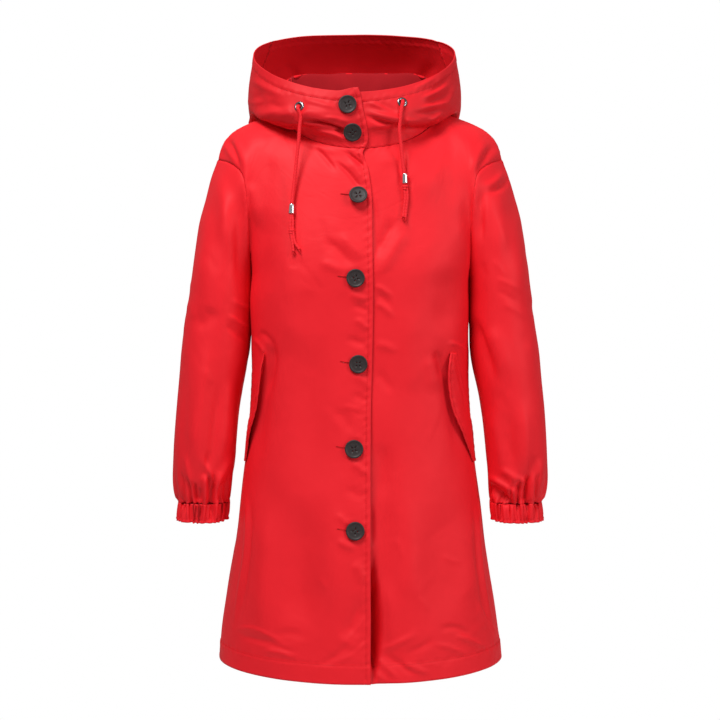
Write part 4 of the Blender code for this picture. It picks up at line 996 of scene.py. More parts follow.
# %% Fronts and back
SIDE_LINES = {RIGHT: creases((245, 490, 246.5, 550, 230, 640, 2.4, 2.6, .7),
                             (249, 490, 250.5, 550, 234, 640, 2.4, -2.0, 1)),
              LEFT: creases((478.6, 490, 481, 566, 499, 650, 2.4, 2.6, .7),
                            (474.6, 490, 477, 566, 495, 650, 2.4, -2.0, 1))}
FRONT_CREASES = {
    RIGHT: RIGHT_FRONT_CREASES + SIDE_LINES[RIGHT]
    + strewn(3, 30, (232, 200, 365, 640), 60, 34, 5, 0.5)
    + strewn(4, 16, (235, 615, 365, 665), 20, 26, 3, 0.6)
    + strewn(5, 16, (352, 240, 368, 640), 15, 14, 3, 0.8),
    LEFT: LEFT_FRONT_CREASES + SIDE_LINES[LEFT]
    + strewn(6, 30, (378, 180, 490, 640), 115, 34, 5, 0.5)
    + strewn(7, 16, (378, 615, 490, 665), 160, 26, 3, 0.6)}


def mirrored(grid):
    """A grid of the wearer's left turned into one of the right, still facing out."""
    return grid[:, ::-1] * (-1, 1, 1)


FRONT_GRID, BACK_GRID = (112, 372), (112, 210)


def make_front(side):
    """A front from the hem to the neck and shoulder seams."""
    base = relaxed(front_point(side, *grid_shares(*FRONT_GRID)))
    if side == RIGHT:
        base = set_lap_edge(mirrored(base))
    edges = (Edge("top", "seam"), Edge(SIDE_NAMES[-side], "seam"),
             Edge("bottom", "fold", HEM_INSET), Edge(SIDE_NAMES[side], "fold", LAP_INSET))
    return make_panel("front_" + SIDE_NAMES[side], base, edges, FRONT_CREASES[side],
                      over=FRONT_CREASES[RIGHT] if side == LEFT else ())


fronts = {side: make_front(side) for side in (RIGHT, LEFT)}
across, along = grid_shares(*BACK_GRID)
back = make_panel("back", relaxed(body_point(1 - 2 * across, along, False)),
                  (Edge("top", "seam"), Edge("left", "seam"), Edge("right", "seam"),
                   Edge("bottom", "fold", HEM_INSET)),
                  hidden=BACK_CREASES + strewn(8, 50, (240, 160, 480, 650), 80, 30, 5, 1.0))

# %% [markdown]
# ## Sleeves and gathered cuffs
# One wave describes the gathers of both the cuff and the sleeve above it, so the two meet. Its
# ridges are broad, its valleys narrow, and none is quite like the next.

# %% Sleeves and cuffs
CUFF_GATHERS, CUFF_WAVE, CUFF_MIDDLE = 24, 5.0, 0.2
SLEEVE_GRID, CUFF_GRID = (160, 168), (300, 14)


def gather_wave(turn):
    """The uneven gathers round a wrist: 0 on the broad ridges, to -1.7 in the sharp valleys."""
    count = CUFF_GATHERS * turn
    count = count + 0.40 * np.sin(6 * pi * turn + 0.6) + 0.30 * np.sin(14 * pi * turn + 2)
    size = 0.95 + 0.35 * np.sin(10 * pi * turn + 1.1) + 0.3 * np.sin(22 * pi * turn)
    return (power(np.abs(np.sin(pi * count)), 0.75) - 1) * size


SLEEVE_CREASES = {RIGHT: RIGHT_SLEEVE_CREASES, LEFT: LEFT_SLEEVE_CREASES}
SLEEVE_ZONES = {RIGHT: (180, 180, 248, 480), LEFT: (472, 180, 540, 480)}


def make_sleeve(side):
    """A sleeve as a closed tube, gathered where it meets the cuff."""
    across, along = grid_shares(*SLEEVE_GRID)
    turn, down = (1 - across) % 1.0, 1 - along
    base = sleeve_point(turn, down)
    near = ease(down, 0.955, 1.0) * 0.7 + ease(down, 0.87, 1.0) * 0.3
    gathers = CUFF_WAVE * (gather_wave(turn) + CUFF_MIDDLE) * near
    puffs = np.sin(14 * pi * turn + 1) + 0.7 * np.sin(22 * pi * turn + 2.5 + 5 * down)
    gathers += (2.4 * puffs - 1.2) * ease(down, 0.80, 0.97) * (1 - ease(down, 0.97, 1.0))
    if side == RIGHT:
        base, gathers = mirrored(base), gathers[:, ::-1]
    zone = SLEEVE_ZONES[side]
    return make_panel("sleeve_" + SIDE_NAMES[side], base,
                      (Edge("top", "seam"), Edge("bottom", "gather")),
                      SLEEVE_CREASES[side] + strewn(9 + side, 22, zone, 80, 26, 4, 1.0),
                      BACK_SLEEVE_CREASES + strewn(12 + side, 22, zone, 80, 26, 4, 1.0),
                      extra=gathers, closed=True)


def cuff_point(turn, down):
    """Point of the gathered cuff on the wearer's left; down 0 is its seam, 1 its free edge."""
    ring = repeated(SLEEVE_RINGS[-1], down)
    point = sleeve_oval(ring, turn)
    spoke = point - points((ring.outer + ring.inner) / 2, ring.middle, point[..., 2])
    spoke /= np.linalg.norm(spoke, axis=-1, keepdims=True)
    wave = gather_wave(turn + 0.006 * down * np.sin(18 * pi * turn))
    rise = CUFF_WAVE * (wave + CUFF_MIDDLE) * (1 - 0.2 * np.sin(pi * down)) + np.sin(pi * down)
    drop = -CUFF_DEPTH * down - 3.0 * np.sin(2 * pi * turn) * down
    drop -= 0.9 * wave * ease(down, 0.5, 1.0)
    return point + spoke * rise[..., None] + points(2.5 * down, 0.0, drop)


def make_cuff(side):
    """A gathered cuff with its elastic's two folded edges."""
    across, along = grid_shares(*CUFF_GRID)
    base = cuff_point((1 - across) % 1.0, 1 - along)
    if side == RIGHT:
        base = mirrored(base)
    return make_panel("cuff_" + SIDE_NAMES[side], base,
                      (Edge("top", "gather"), Edge("bottom", "fold", CUFF_INSET)),
                      SLEEVE_CREASES[side], closed=True)


for make in (make_sleeve, make_cuff):
    for side in (RIGHT, LEFT):
        make(side)

# %% [markdown]
# ## The hood, folded down
# Three panels make the hood: two sides and a strip over the head. Folded down, it is one long
# surface that rises from the neck, folds over outwards and ends in its rim. It could be draped
# by simulation, but the photograph fixes where each part of it lies, so its section is given.

# %% Hood
LAP_CORNER_RISE, LAP_CORNER_REACH = 6.5, 34
HOOD_SIDE_GRID, HOOD_CENTRE_GRID = (120, 96), (140, 120)
HOOD_ZONES = {RIGHT: (252, 70, 350, 122), LEFT: (368, 70, 455, 120)}


def make_hood_side(side):
    """A hood side, from its lapped edge to the seam with the middle panel."""
    across, along = grid_shares(*HOOD_SIDE_GRID)
    base = hood_side_point(side, across if side == LEFT else 1 - across, 1 - along)
    if side == RIGHT:
        base = set_lap_edge(base)
        corner = np.linalg.norm(base - base[-1, -1], axis=-1)
        rise = LAP_CORNER_RISE * (1 - ease(corner, 0, LAP_CORNER_REACH))
        base = base + points(0.0, 0.0, rise)
    edges = (Edge("top", "fold", RIM_INSET), Edge("bottom", "seam"),
             Edge(SIDE_NAMES[-side], "flat seam"), Edge(SIDE_NAMES[side], "fold", LAP_INSET))
    return make_panel("hood_side_" + SIDE_NAMES[side], base, edges,
                      HOOD_CREASES + strewn(20 + side, 18, HOOD_ZONES[side], 160, 18, 3, 0.6),
                      BACK_HOOD_CREASES, over=HOOD_CREASES if side == LEFT else (),
                      outside=HOOD_RED_PAINTED_SHADE, inside=HOOD_INSIDE_PAINTED_SHADE)


hood_sides = {side: make_hood_side(side) for side in (RIGHT, LEFT)}
across, along = grid_shares(*HOOD_CENTRE_GRID)
turn = np.radians(blend(HOOD_SEAM, 360 - HOOD_SEAM, across))
hood_base = hood_point(np.where(turn > pi, turn - 2 * pi, turn), 1 - along)
hood_centre = make_panel("hood_centre", hood_base,
                         (Edge("top", "fold", RIM_INSET), Edge("bottom", "seam"),
                          Edge("left", "flat seam"), Edge("right", "flat seam")),
                         hidden=BACK_HOOD_CREASES,
                         outside=HOOD_RED_PAINTED_SHADE, inside=HOOD_INSIDE_PAINTED_SHADE)

# %% The hood's stand
# Below its fold the hood stands round the neck. There the sides' outer faces take the coat's brighter
# red in place of the hood's painted-shade red. The inner faces, and the middle panel's outer ones,
# take a dark red that is painted shade.
FOLD_LINE = table("x y",
                  (286, 124.5), (309, 123), (330, 127), (350, 136), (361, 129), (366, 116),
                  (398, 123.5), (418, 127), (432, 124.5), (440, 118))
CREST_SEARCH, CREST_LIMIT, FACES_FRONT = 0.38, 0.36, -0.3


def mark_stand(panel, outside):
    """Gives a hood panel's faces below its fold their own pair of materials; the inner one is painted
    shade.
    """
    x, y = photo_spot(panel.place)
    height = panel.place[..., 2]
    rows = len(height)
    crest = height[:int(rows * CREST_SEARCH)].argmax(0)
    stand = np.arange(rows)[:, None] < np.where(crest < rows * CREST_LIMIT, crest, 0)
    seen = (x > FOLD_LINE[0].x) & (x < FOLD_LINE[-1].x) & (panel.out[..., 1] < FACES_FRONT)
    low = (stand | (seen & (y > read_table(FOLD_LINE, x).y))).reshape(-1)
    tree = KDTree(height.size)
    for number, spot in enumerate(panel.place.reshape(-1, 3) * MM):
        tree.insert(spot, number)
    tree.balance()
    mesh = panel.piece.data
    mesh.materials.append(outside)
    mesh.materials.append(NECK_PAINTED_SHADE)
    for face in mesh.polygons:
        if low[tree.find(face.center)[1]]:
            face.material_index = 2


mark_stand(hood_sides[RIGHT], RED_CLOTH)
mark_stand(hood_sides[LEFT], RED_CLOTH)
mark_stand(hood_centre, NECK_PAINTED_SHADE)

# %% [markdown]
# ## Pocket flaps
# Each flap is a doubled strip sewn down along the side and standing a little off the coat in
# front. It is laid on the front's own surface and pushed out more and more toward its free
# edge, so it keeps the coat's curve and throws the thin shadow that shows it.

# %% Pocket flaps
POCKET_FLAP = table("height sewn free_right free_left",
                    (-572, 84.5, 75, 72), (-531, 85, 67, 58), (-494, 74, 60, 49),
                    (-461, 65, 56, 45.5), (-424, 58, 54, 44.5), (-402, 55, 53.5, 48))
POCKET_STAND, POCKET_CLEAR, FLAP_THICKNESS, SIDE_TURN = 7.1, 2.3, 1.7, 90
FLAP_GRID = (20, 80)
FLAP_CREASES = creases(
    (452, 352, 457, 380, 466, 414, 2.2, 1.2, 1), (448, 366, 452, 398, 462, 432, 2.2, -1.0, 1),
    (459, 366, 462, 384, 468, 402, 2.2, -.8, 1), (258, 362, 258, 386, 254, 410, 2.2, 1.1, 1),
    (263, 366, 261, 392, 256, 420, 2.2, -.9, 1))


def make_pocket_flap(side):
    """A flap sewn along its side edge, its free edge standing off the front."""
    across, along = grid_shares(*FLAP_GRID)
    height = blend(POCKET_FLAP[0].height, POCKET_FLAP[-1].height, along)
    edge = read_table(POCKET_FLAP, height)
    free = edge.free_right if side == RIGHT else edge.free_left
    column = blend(free, edge.sewn, across) / SIDE_TURN
    loose = 0.3 + 0.7 * ease(along, 0, 0.32) * (1 - ease(along, 0.86, 1))
    stand = blend(POCKET_STAND * loose, POCKET_CLEAR, ease(across, 0.0, 0.9))
    row = (height - HEM) / (UNDERARM - HEM) * YOKE_START
    base = pushed_point(column, row, stand)
    if side == RIGHT:
        base = mirrored(base)
    return make_panel("pocket_flap_" + SIDE_NAMES[side], base,
                      (Edge(SIDE_NAMES[side], "fold", FLAP_INSET), Edge(SIDE_NAMES[-side], "seam")),
                      FLAP_CREASES, thickness=FLAP_THICKNESS)


flaps = {side: make_pocket_flap(side) for side in (RIGHT, LEFT)}

# %% [markdown]
# ## Stitches
# A stitch is a small pointed bar of thread that lies on the cloth. A bump could paint it on,
# but real bars catch the light from any side. Each is a small grid wrapped round into a bar,
# and a whole row is one mesh.

# %% Stitches
STITCH_PITCH, STITCH_LENGTH, STITCH_RADIUS, BAR_SIDES = 3.6, 2.6, 0.32, 6


def joined(name, tubes, material):
    """One smooth object of closed tubes, each an array of rings of points.

    The first and the last ring hold one point many times over, and so close the tube.
    """
    tool = bmesh.new()
    for rings in tubes:
        lay_grid(tool, np.concatenate((rings, rings[:, :1]), 1))
    bmesh.ops.remove_doubles(tool, verts=tool.verts, dist=MERGE)
    return finished(name, tool, material)


def unit(vectors):
    """The vectors at length one."""
    return vectors / np.maximum(np.linalg.norm(vectors, axis=-1, keepdims=True), 1e-9)


def bars(starts, ends, outs, radius):
    """Small pointed bars of thread between pairs of points, as tubes for a joined mesh."""
    run = unit(ends - starts)
    up = unit(outs - run * (outs * run).sum(-1, keepdims=True))
    aside = np.cross(run, up)
    angle = (np.arange(BAR_SIDES) * 2 * pi / BAR_SIDES)[:, None, None]
    ring = (np.cos(angle) * up + np.sin(angle) * aside) * radius
    inset, tip = run * radius, np.zeros_like(ring)
    rings = np.stack((tip + starts, ring + starts + inset, ring + ends - inset, tip + ends))
    return list(rings.transpose(2, 0, 1, 3))


def length_along(line):
    """How far along a line each of its points is."""
    return np.pad(np.linalg.norm(np.diff(line, axis=0), axis=1).cumsum(), (1, 0))


def even_spots(line, step, *others):
    """Points a step apart along a line, and any other values read at the same places."""
    run = length_along(line)
    stops = np.linspace(0, run[-1], max(int(run[-1] / step), 1) + 1)
    return [np.stack([np.interp(stops, run, column) for column in values.T], -1)
            for values in (line, *others)]


def stitch_parts(line, outs):
    """A row of stitches along a line of points on the cloth."""
    spots, outs = even_spots(line, STITCH_PITCH, outs)
    middle = (spots[1:] + spots[:-1]) / 2 + outs[:-1] * STITCH_RADIUS * 0.6
    half = unit(spots[1:] - spots[:-1]) * STITCH_LENGTH / 2
    return bars(middle - half, middle + half, outs[:-1], STITCH_RADIUS)


def line_inside(panel, side, inset):
    """The line of a panel's points at a distance from one edge, and the directions out."""
    reach, values = panel.reach[side], np.concatenate((panel.place, panel.out), -1)
    if side in ("bottom", "top"):
        reach, values = reach.T, values.transpose(1, 0, 2)
    if side in ("right", "top"):
        reach, values = reach[:, ::-1], values[:, ::-1]
    last = np.clip((reach < inset).sum(1), 1, reach.shape[1] - 1)
    row = np.arange(len(reach))
    low, high = reach[row, last - 1], reach[row, last]
    share = np.clip((inset - low) / np.maximum(high - low, 1e-6), 0, 1)[:, None]
    spots = blend(values[row, last - 1], values[row, last], share)
    return spots[:, :3], unit(spots[:, 3:])


def sew(name, panel, side, inset, skip=3):
    """A row of stitches inside one edge of a panel."""
    line, outs = line_inside(panel, side, inset)
    stitches = stitch_parts(line[skip:-skip], outs[skip:-skip])
    joined(name, stitches, THREAD)
    print(f"{name}: {len(stitches)} stitches")


for side, word in SIDE_NAMES.items():
    sew(f"stitches_placket_{word}", fronts[side], word, LAP_INSET)
    sew(f"stitches_hem_{word}", fronts[side], "bottom", HEM_INSET)
    sew(f"stitches_rim_{word}", hood_sides[side], "top", RIM_INSET)
    sew(f"stitches_hood_lap_{word}", hood_sides[side], word, LAP_INSET)
    sew(f"stitches_flap_{word}", flaps[side], word, FLAP_INSET)
sew("stitches_hem_back", back, "bottom", HEM_INSET)
sew("stitches_rim_middle", hood_centre, "top", RIM_INSET)
for word in ("left", "right"):
    sew(f"stitches_hood_seam_{word}", hood_centre, word, HOOD_SEAM_INSET)

# %% [markdown]
# ## Buttons and buttonholes
# Each button is turned on a lathe, so a half section spun round gives its dished face. Four
# bars cut its holes with a live Boolean, thread runs across them, and it lies on the cloth
# where its node does.

# %% Buttons
BUTTONS = table("x z turn tilt",
                (-19, -25, 20, 0), (-11.5, -66, 52, 0), (-2.5, -164, 10, 13), (-6.6, -290, 30, 3),
                (-2.4, -419, 0, 0), (-8.6, -547, 12, 2), (-7.3, -669, 40, 4))
BUTTONS_ON_HOOD, BUTTON_CLEAR = 2, 0.9
BUTTON_SECTION = ((0, 0.1), (11.6, 0.1), (13.2, 0.7), (13.9, 1.6), (13.95, 2.4), (13.5, 3.15),
                  (12.8, 3.5), (12.0, 3.45), (11.3, 2.95), (10.4, 2.55), (8, 2.35), (0, 2.2))
HOLE_RADIUS, HOLE_OUT, HOLE_TURNS = 1.0, 3.3, (45, 135, 225, 315)
HOLE_CUT_LENGTH, HOLE_STEPS, THREAD_LEVEL = 12, 20, 1.5
BUTTON_EDGE, BUTTON_THREAD_RADIUS, LATHE_STEPS = 14, 0.35, 64
FACES_CAMERA, NEAREST_POINTS, NEARNESS = -0.2, 6, 0.2


def cloth_spots(panel, x, z):
    """Points of a panel and directions out, where it is seen at places in front view."""
    seen = panel.out[..., 1] < FACES_CAMERA
    values = np.concatenate((panel.place, panel.out), -1)[seen]
    spots = []
    for spot_x, spot_z in zip(np.atleast_1d(x), np.atleast_1d(z)):
        gap = np.hypot(values[:, 0] - spot_x, values[:, 2] - spot_z)
        nearest = gap.argsort()[:NEAREST_POINTS]
        weight = 1 / (gap[nearest] + NEARNESS) ** 2
        spots.append((values[nearest] * weight[:, None]).sum(0) / weight.sum())
    spots = np.array(spots)
    return spots[:, :3], unit(spots[:, 3:])


def facing(point, direction, turn=0.0, tilt=0.0):
    """Placing matrix at a point in millimetres, local Z along a direction."""
    direction = Vector(direction).normalized()
    aside = Vector((0, 0, 1)).cross(direction).normalized()
    stand = Matrix((aside, direction.cross(aside), direction)).transposed().to_4x4()
    return (Matrix.Translation(Vector(point) * MM) @ stand @ Matrix.Rotation(radians(tilt), 4, "X")
            @ Matrix.Rotation(radians(turn), 4, "Z"))


def turned(name, section, steps, closed, place, material):
    """A piece turned about local Z from a half section of radius and height."""
    tool = bmesh.new()
    verts = [tool.verts.new((radius * MM, 0, height * MM)) for radius, height in section]
    edges = [tool.edges.new(pair) for pair in zip(verts, verts[1:])]
    if closed:
        edges.append(tool.edges.new((verts[-1], verts[0])))
    bmesh.ops.spin(tool, geom=verts + edges, cent=(0, 0, 0), axis=(0, 0, 1), angle=2 * pi,
                   steps=steps, use_merge=True)
    bmesh.ops.remove_doubles(tool, verts=tool.verts, dist=MERGE)
    bmesh.ops.recalc_face_normals(tool, faces=tool.faces)
    tool.transform(place)
    return finished(name, tool, material)


def hole_cutter(name, place):
    """The four bars that cut a button's holes."""
    tool = bmesh.new()
    for turn in HOLE_TURNS:
        spot = Matrix.Rotation(radians(turn), 4, "Z") @ Matrix.Translation((HOLE_OUT * MM, 0, 0))
        bmesh.ops.create_cone(tool, cap_ends=True, segments=HOLE_STEPS,
                              radius1=HOLE_RADIUS * MM, radius2=HOLE_RADIUS * MM,
                              depth=HOLE_CUT_LENGTH * MM, matrix=place @ spot)
    cutter = finished(name, tool, BUTTON)
    cutter.data.shade_flat()
    cutter.hide_render = True
    cutter.display_type = "WIRE"
    return cutter


def button_panel(number):
    """The panel that a button lies on: the first two are on the hood's tab."""
    return hood_sides[RIGHT] if number <= BUTTONS_ON_HOOD else fronts[RIGHT]


def make_button(number, button):
    """A lathe-turned button with its holes cut and its thread drawn through them."""
    (point,), (out,) = cloth_spots(button_panel(number), button.x, button.z)
    lift = BUTTON_CLEAR + BUTTON_EDGE * sin(radians(button.tilt))
    place = facing(point + out * lift, out, button.turn, -button.tilt)
    disc = turned(f"button_{number}_disc", BUTTON_SECTION, LATHE_STEPS, False, place, BUTTON)
    cut = disc.modifiers.new("holes", "BOOLEAN")
    cut.operation = "DIFFERENCE"
    cut.solver = "EXACT"
    cut.object = hole_cutter(f"button_{number}_holes", place)
    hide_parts(f"button_{number}")
    holes = [Vector((cos(radians(turn)), sin(radians(turn)), 0)) * HOLE_OUT for turn in HOLE_TURNS]
    rise = Vector((0, 0, THREAD_LEVEL))
    ends = np.array([place @ ((hole + rise) * MM) / MM for hole in holes])
    outs = np.repeat([np.array(place.to_3x3() @ Vector((0, 0, 1)))], 2, 0)
    threads = bars(ends[[0, 1]], ends[[3, 2]], outs, BUTTON_THREAD_RADIUS)
    joined(f"button_{number}_thread", threads, BUTTON_THREAD)
    print(f"button {number}: {2 * BUTTON_SECTION[4][0]:.1f} mm across")


for number, button in enumerate(BUTTONS, start=1):
    make_button(number, button)

# %% [markdown]
# ## Buttonholes
# A buttonhole is a slit with a lip of close stitches on either side. Of each only the part that
# runs out from under its button shows. The top button's is hidden by the button itself.

# %% Buttonholes
HOLE_REACH, HOLE_START, HOLE_SLANT, HOLE_LIP = 27, 4, 0.13, 0.75
HOLE_STITCHES, HOLE_ABOVE, STITCH_OVERLAP, END_GAP = 11, 0.5, 0.2, 0.4
LIP_RADIUS, END_RADIUS, SLIT_RADIUS = 0.5, 0.35, 0.6
LIP_LIFT, SLIT_LIFT = 0.1, 0.2


def make_buttonhole(number, button):
    """A sewn slit that runs out from under a button, towards the wearer's right."""
    x = np.linspace(button.x - HOLE_REACH, button.x - HOLE_START, HOLE_STITCHES + 1)
    z = button.z + HOLE_ABOVE - HOLE_SLANT * (x - button.x + HOLE_START)
    line, outs = cloth_spots(button_panel(number), x, z)
    up = unit(np.cross(outs, np.gradient(line, axis=0)))
    lips = []
    for way in (-1, 1):
        lip = line + up * way * HOLE_LIP + outs * LIP_LIFT
        ends = lip[1:] + np.diff(lip, axis=0) * STITCH_OVERLAP
        lips += bars(lip[:-1], ends, outs[:-1], LIP_RADIUS)
    edge = line[:1] - unit(line[1:2] - line[:1]) * END_GAP + outs[:1] * LIP_LIFT
    lips += bars(edge - up[:1], edge + up[:1], outs[:1], END_RADIUS)
    joined(f"buttonhole_{number}", lips, THREAD)
    # The slit is a dark bar of painted shadow, laid just over the cloth between the lips.
    start, end = line[:1] + outs[:1] * SLIT_LIFT, line[-1:] + outs[-1:] * SLIT_LIFT
    slit = bars(start, end, outs[:1], SLIT_RADIUS)
    joined(f"buttonhole_{number}_slit", slit, SLIT_SHADOW)


for number, button in enumerate(BUTTONS, start=1):
    if number > 1:
        make_buttonhole(number, button)

# %% [markdown]
# ## Eyelets
# A metal ring is pressed through the hood's channel where each cord comes out. A lathe profile spun
# once round gives the ring with its rolled edge; a dark disc behind it is painted shade for the way
# inside.

# %% Eyelets
EYELETS = table("side x z", (RIGHT, -92.6, -26), (LEFT, 64.6, -20))
EYELET_SECTION = ((4.2, 0.9), (4.5, 1.45), (5.2, 1.75), (6.1, 1.75), (7.1, 1.4), (7.8, 0.8),
                  (8.0, 0.3), (4.9, 0.3), (4.9, -1.9), (6.8, -1.9), (6.8, -2.6), (4.2, -2.6))
SHADE_DISC = ((0, 0.15), (4.3, 0.15))
for eyelet in EYELETS:
    word = SIDE_NAMES[eyelet.side]
    (point,), (out,) = cloth_spots(hood_sides[eyelet.side], eyelet.x, eyelet.z)
    place = facing(point, out)
    ring = turned(f"eyelet_{word}_ring", EYELET_SECTION, LATHE_STEPS, True, place, GUNMETAL)
    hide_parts("eyelet_" + word)
    # A dark disc of painted shade fills the eyelet's hole.
    dark = turned(f"eyelet_{word}_dark", SHADE_DISC, LATHE_STEPS // 2, False, place, EYELET_PAINTED_SHADE)

# %% [markdown]
# ## Drawcords
# Each cord comes out of its eyelet, hangs to a metal bell and ends in two knotted strands. The
# routes are the same as the solids'. A cord is a grid wrapped round its route, and two families
# of crossing helices raise the braid on it, so it shows from near by without any picture.

# %% Cord routes
CORD_RADIUS, STRAND_RADIUS, KNOT_RADIUS = 2.75, 2.3, 1.9
CORD_STEP, STRAND_STEP, BELL_STEPS = 0.55, 0.7, 48
CORD_ROUTES = {
    RIGHT: ((-89.4, -92.7, -29), (-92.6, -100.8, -27), (-94.4, -105.3, -26.5),
            (-94.8, -107.5, -29.9), (-92.2, -107.6, -36), (-90.3, -107, -44),
            (-92, -106.3, -58.5), (-93.3, -106, -76.6), (-96.6, -106, -108.5),
            (-99.7, -106.4, -138), (-101.9, -107.3, -157.6), (-103.8, -109.2, -179)),
    LEFT: ((62, -93.5, -21.3), (64.6, -101.8, -19), (65.2, -106.4, -18.4),
           (65, -108.7, -21.7), (63.6, -109.6, -28), (61.6, -110.2, -44),
           (60.1, -110, -62), (62.3, -109.4, -85), (65.8, -108.9, -119.6), (68, -109, -133))}
BELLS = {RIGHT: ((-103.7, -108.9, -176), (-104.2, -110.6, -191)),
         LEFT: ((67.9, -109, -130), (68.3, -109.6, -144.7))}
BELL_SECTION = ((3.3, 0.1), (3.5, -0.1), (3.85, 0.1), (4.0, 0.8), (4.2, 5), (4.5, 10), (4.75, 13.6),
                (4.7, 14.5), (4.3, 14.8), (3.7, 14.6), (3.4, 6))
Tail = namedtuple("Tail", "first second knot")
TAILS = {
    RIGHT: Tail(((-104.6, -110, -181.5), (-104.7, -111, -192), (-106, -112.3, -204),
                 (-105.5, -113.6, -216), (-102.5, -116.2, -235), (-100.8, -118, -249)),
                ((-103.2, -110, -181.5), (-103.1, -111, -192), (-101.9, -112.3, -204),
                 (-101.9, -113.6, -216), (-98.5, -116.6, -235), (-91.5, -119.3, -245.5)),
                (-103.7, -113.2, -217)),
    LEFT: Tail(((67.5, -109.5, -137), (67.6, -109.7, -146), (67.4, -111, -153),
                (68.3, -112, -166), (66.6, -113.3, -183), (65.2, -115.6, -196.5)),
               ((69, -109.5, -137), (69.2, -109.7, -146), (71, -111, -153),
                (72, -112, -166), (70.2, -113.3, -183), (68.6, -115.6, -197.5)),
               (69, -110.8, -150))}
FRAY_LENGTH, FRAY_THREADS, FRAY_RADIUS, FRAY_SPREAD = 6.5, 12, 0.3, 0.45
FRAY_START, FRAY_LOOSE, FRAY_SEED = 1.5, 0.7, 30
KNOT_TURN, KNOT_HEIGHT, KNOT_WIDE, KNOT_DEEP = 3.6 * pi, 6.4, 3.0, 2.2
KNOT_LEAN, KNOT_STOPS = 0.8, 60
Braid = namedtuple("Braid", "sides relief strands lay")
CORD_BRAID, STRAND_BRAID = Braid(22, 0.28, 4, 4.6), Braid(14, 0.22, 2, 5.0)
KNOT_BRAID = Braid(12, 0.15, 2, 4.0)


def smooth_line(stops, step):
    """Even points on a smooth curve through stops."""
    fine = smooth_path(stops, np.linspace(0, 1, 30 * len(stops)))
    return even_spots(fine, step)[0]


def braided(line, radius, braid):
    """A round cord along a line, as a tube for a joined mesh."""
    run = unit(np.gradient(line, axis=0))
    aside = np.cross(run[0], (0.0, 1.0, 0.3))
    asides = []
    for direction in run:
        aside = unit(aside - direction * aside.dot(direction))
        asides.append(aside)
    asides = np.array(asides)[:, None]
    ups = np.cross(run[:, None], asides)
    angle = np.arange(braid.sides) * 2 * pi / braid.sides
    twist = 2 * pi * length_along(line)[:, None] / braid.lay
    one, two = braid.strands * angle + twist, braid.strands * angle - twist
    height = radius + braid.relief * (np.maximum(np.cos(one), np.cos(two)) - 0.5)
    spokes = asides * np.cos(angle)[:, None] + ups * np.sin(angle)[:, None]
    ends = np.zeros((2, braid.sides, 3)) + line[[0, -1], None]
    return np.concatenate((ends[:1], line[:, None] + spokes * height[..., None], ends[1:]))


def frayed(line, radius, seed):
    """The loose threads at a strand's end."""
    chance = np.random.default_rng(seed)
    run = unit(line[-1] - line[-4])
    ring = chance.normal(size=(FRAY_THREADS, 3)) * radius * FRAY_SPREAD
    starts = line[-1] - run * FRAY_START + ring
    reach = chance.uniform(0.5, 1.0, (FRAY_THREADS, 1)) * FRAY_LENGTH
    stray = chance.normal(size=(FRAY_THREADS, 3)) * FRAY_LOOSE
    ends = starts + run * reach + ring * FRAY_LOOSE + stray
    return bars(starts, ends, np.repeat([(0.3, -1.0, 0.1)], FRAY_THREADS, 0), FRAY_RADIUS)


def knotted(middle):
    """A tight coil of strand round both strands, which reads as their knot."""
    turn = np.linspace(0, KNOT_TURN, KNOT_STOPS)
    drop = KNOT_HEIGHT * (turn / KNOT_TURN - 0.5)
    coil = points(middle[0] + KNOT_WIDE * np.cos(turn), middle[1] + KNOT_DEEP * np.sin(turn),
                  middle[2] - drop + KNOT_LEAN * np.cos(turn))
    return braided(coil, KNOT_RADIUS, KNOT_BRAID)


def make_cord(side, word):
    """A drawcord with its bell and its two knotted strands."""
    line = smooth_line(CORD_ROUTES[side], CORD_STEP)
    cord = joined(f"drawcord_{word}_braid", [braided(line, CORD_RADIUS, CORD_BRAID)], RED_CORD)
    top, bottom = (np.array(end) for end in BELLS[side])
    place = facing(top, bottom - top)
    bell = turned(f"cord_bell_{word}_cap", BELL_SECTION, BELL_STEPS, False, place, SILVER)
    tail = TAILS[side]
    tubes = []
    for number, route in enumerate((tail.first, tail.second)):
        strand = smooth_line(route, STRAND_STEP)
        tubes.append(braided(strand, STRAND_RADIUS, STRAND_BRAID))
        tubes += frayed(strand, STRAND_RADIUS, FRAY_SEED + number + 2 * side)
    tubes.append(knotted(tail.knot))
    strands = joined(f"cord_tail_{word}_strands", tubes, RED_CORD)
    for piece, node, slot in ((cord, "drawcord_", "cord_cloth"), (bell, "cord_bell_", "trim_metal"),
                              (strands, "cord_tail_", "cord_cloth")):
        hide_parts(node + word)
    length = float(length_along(line)[-1]) * MM
    print(f"drawcord {word}: {length:.3f} m")


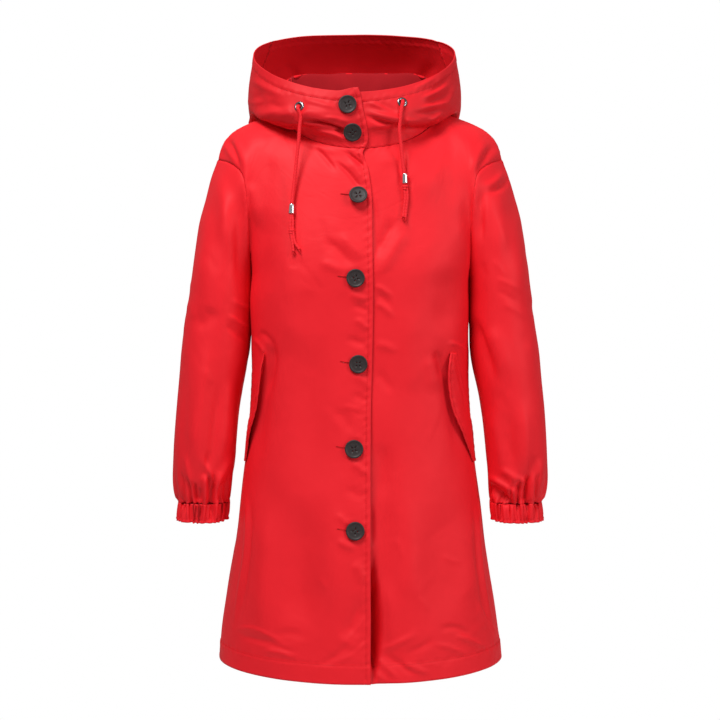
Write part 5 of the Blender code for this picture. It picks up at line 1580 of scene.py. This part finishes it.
for side, word in SIDE_NAMES.items():
    make_cord(side, word)

# %% [markdown]
# ## Studio light and floor
# The photograph's light is broad and comes from the front and above. The camera itself sees
# plain white round the coat; the floor lies well below it.

# %% Light
AMBIENT, SEEN_WHITE = 0.26, 1.0
world = bpy.data.worlds.new("studio")
bpy.context.scene.world = world
world.use_nodes = True
background = world.node_tree.nodes["Background"]
background.inputs["Color"].default_value = (1, 1, 1, 1)
rays = add_node(world.node_tree, "ShaderNodeLightPath", {})
strength = add_node(world.node_tree, "ShaderNodeMapRange", {
    "To Min": AMBIENT, "To Max": SEEN_WHITE, "Value": rays.outputs["Is Camera Ray"]})
world.node_tree.links.new(strength.outputs["Result"], background.inputs["Strength"])
bpy.context.scene.view_settings.view_transform = "Standard"


def soft_light(name, place, aim, watts):
    """A square softbox, a metre across, that faces a point."""
    data = bpy.data.lights.new(name, "AREA")
    data.size = 1.0
    data.energy = watts
    lamp = bpy.data.objects.new(name, data)
    lamp.location = place
    lamp.rotation_euler = (Vector(aim) - Vector(place)).to_track_quat("-Z", "Y").to_euler()
    bpy.context.scene.collection.objects.link(lamp)
    return lamp


soft_light("key", (-0.75, -1.4, 1.75), (0, 0, -0.25), 64)
soft_light("fill", (2.3, -1.9, 0.6), (0, 0, -0.4), 33)
rear = soft_light("rear", (0.8, 2.3, 0.2), (0, 0, -0.4), 38)
rear.visible_glossy = False

# %% [markdown]
# ## Floor
# The coat stands over a plain pale floor, as in a studio. The floor isn't part of the coat.

# %% Floor
FLOOR_HALF, FLOOR_HEIGHT = 1.3, -1.36
tool = bmesh.new()
bmesh.ops.create_grid(tool, x_segments=1, y_segments=1, size=FLOOR_HALF,
                      matrix=Matrix.Translation((0, 0, FLOOR_HEIGHT)))
floor_mesh = bpy.data.meshes.new("floor")
tool.to_mesh(floor_mesh)
tool.free()
pale, _ = new_material("pale_floor", (0.80, 0.80, 0.79), 0.7)
floor_mesh.materials.append(pale)
floor = bpy.data.objects.new("floor", floor_mesh)
bpy.context.scene.collection.objects.link(floor)
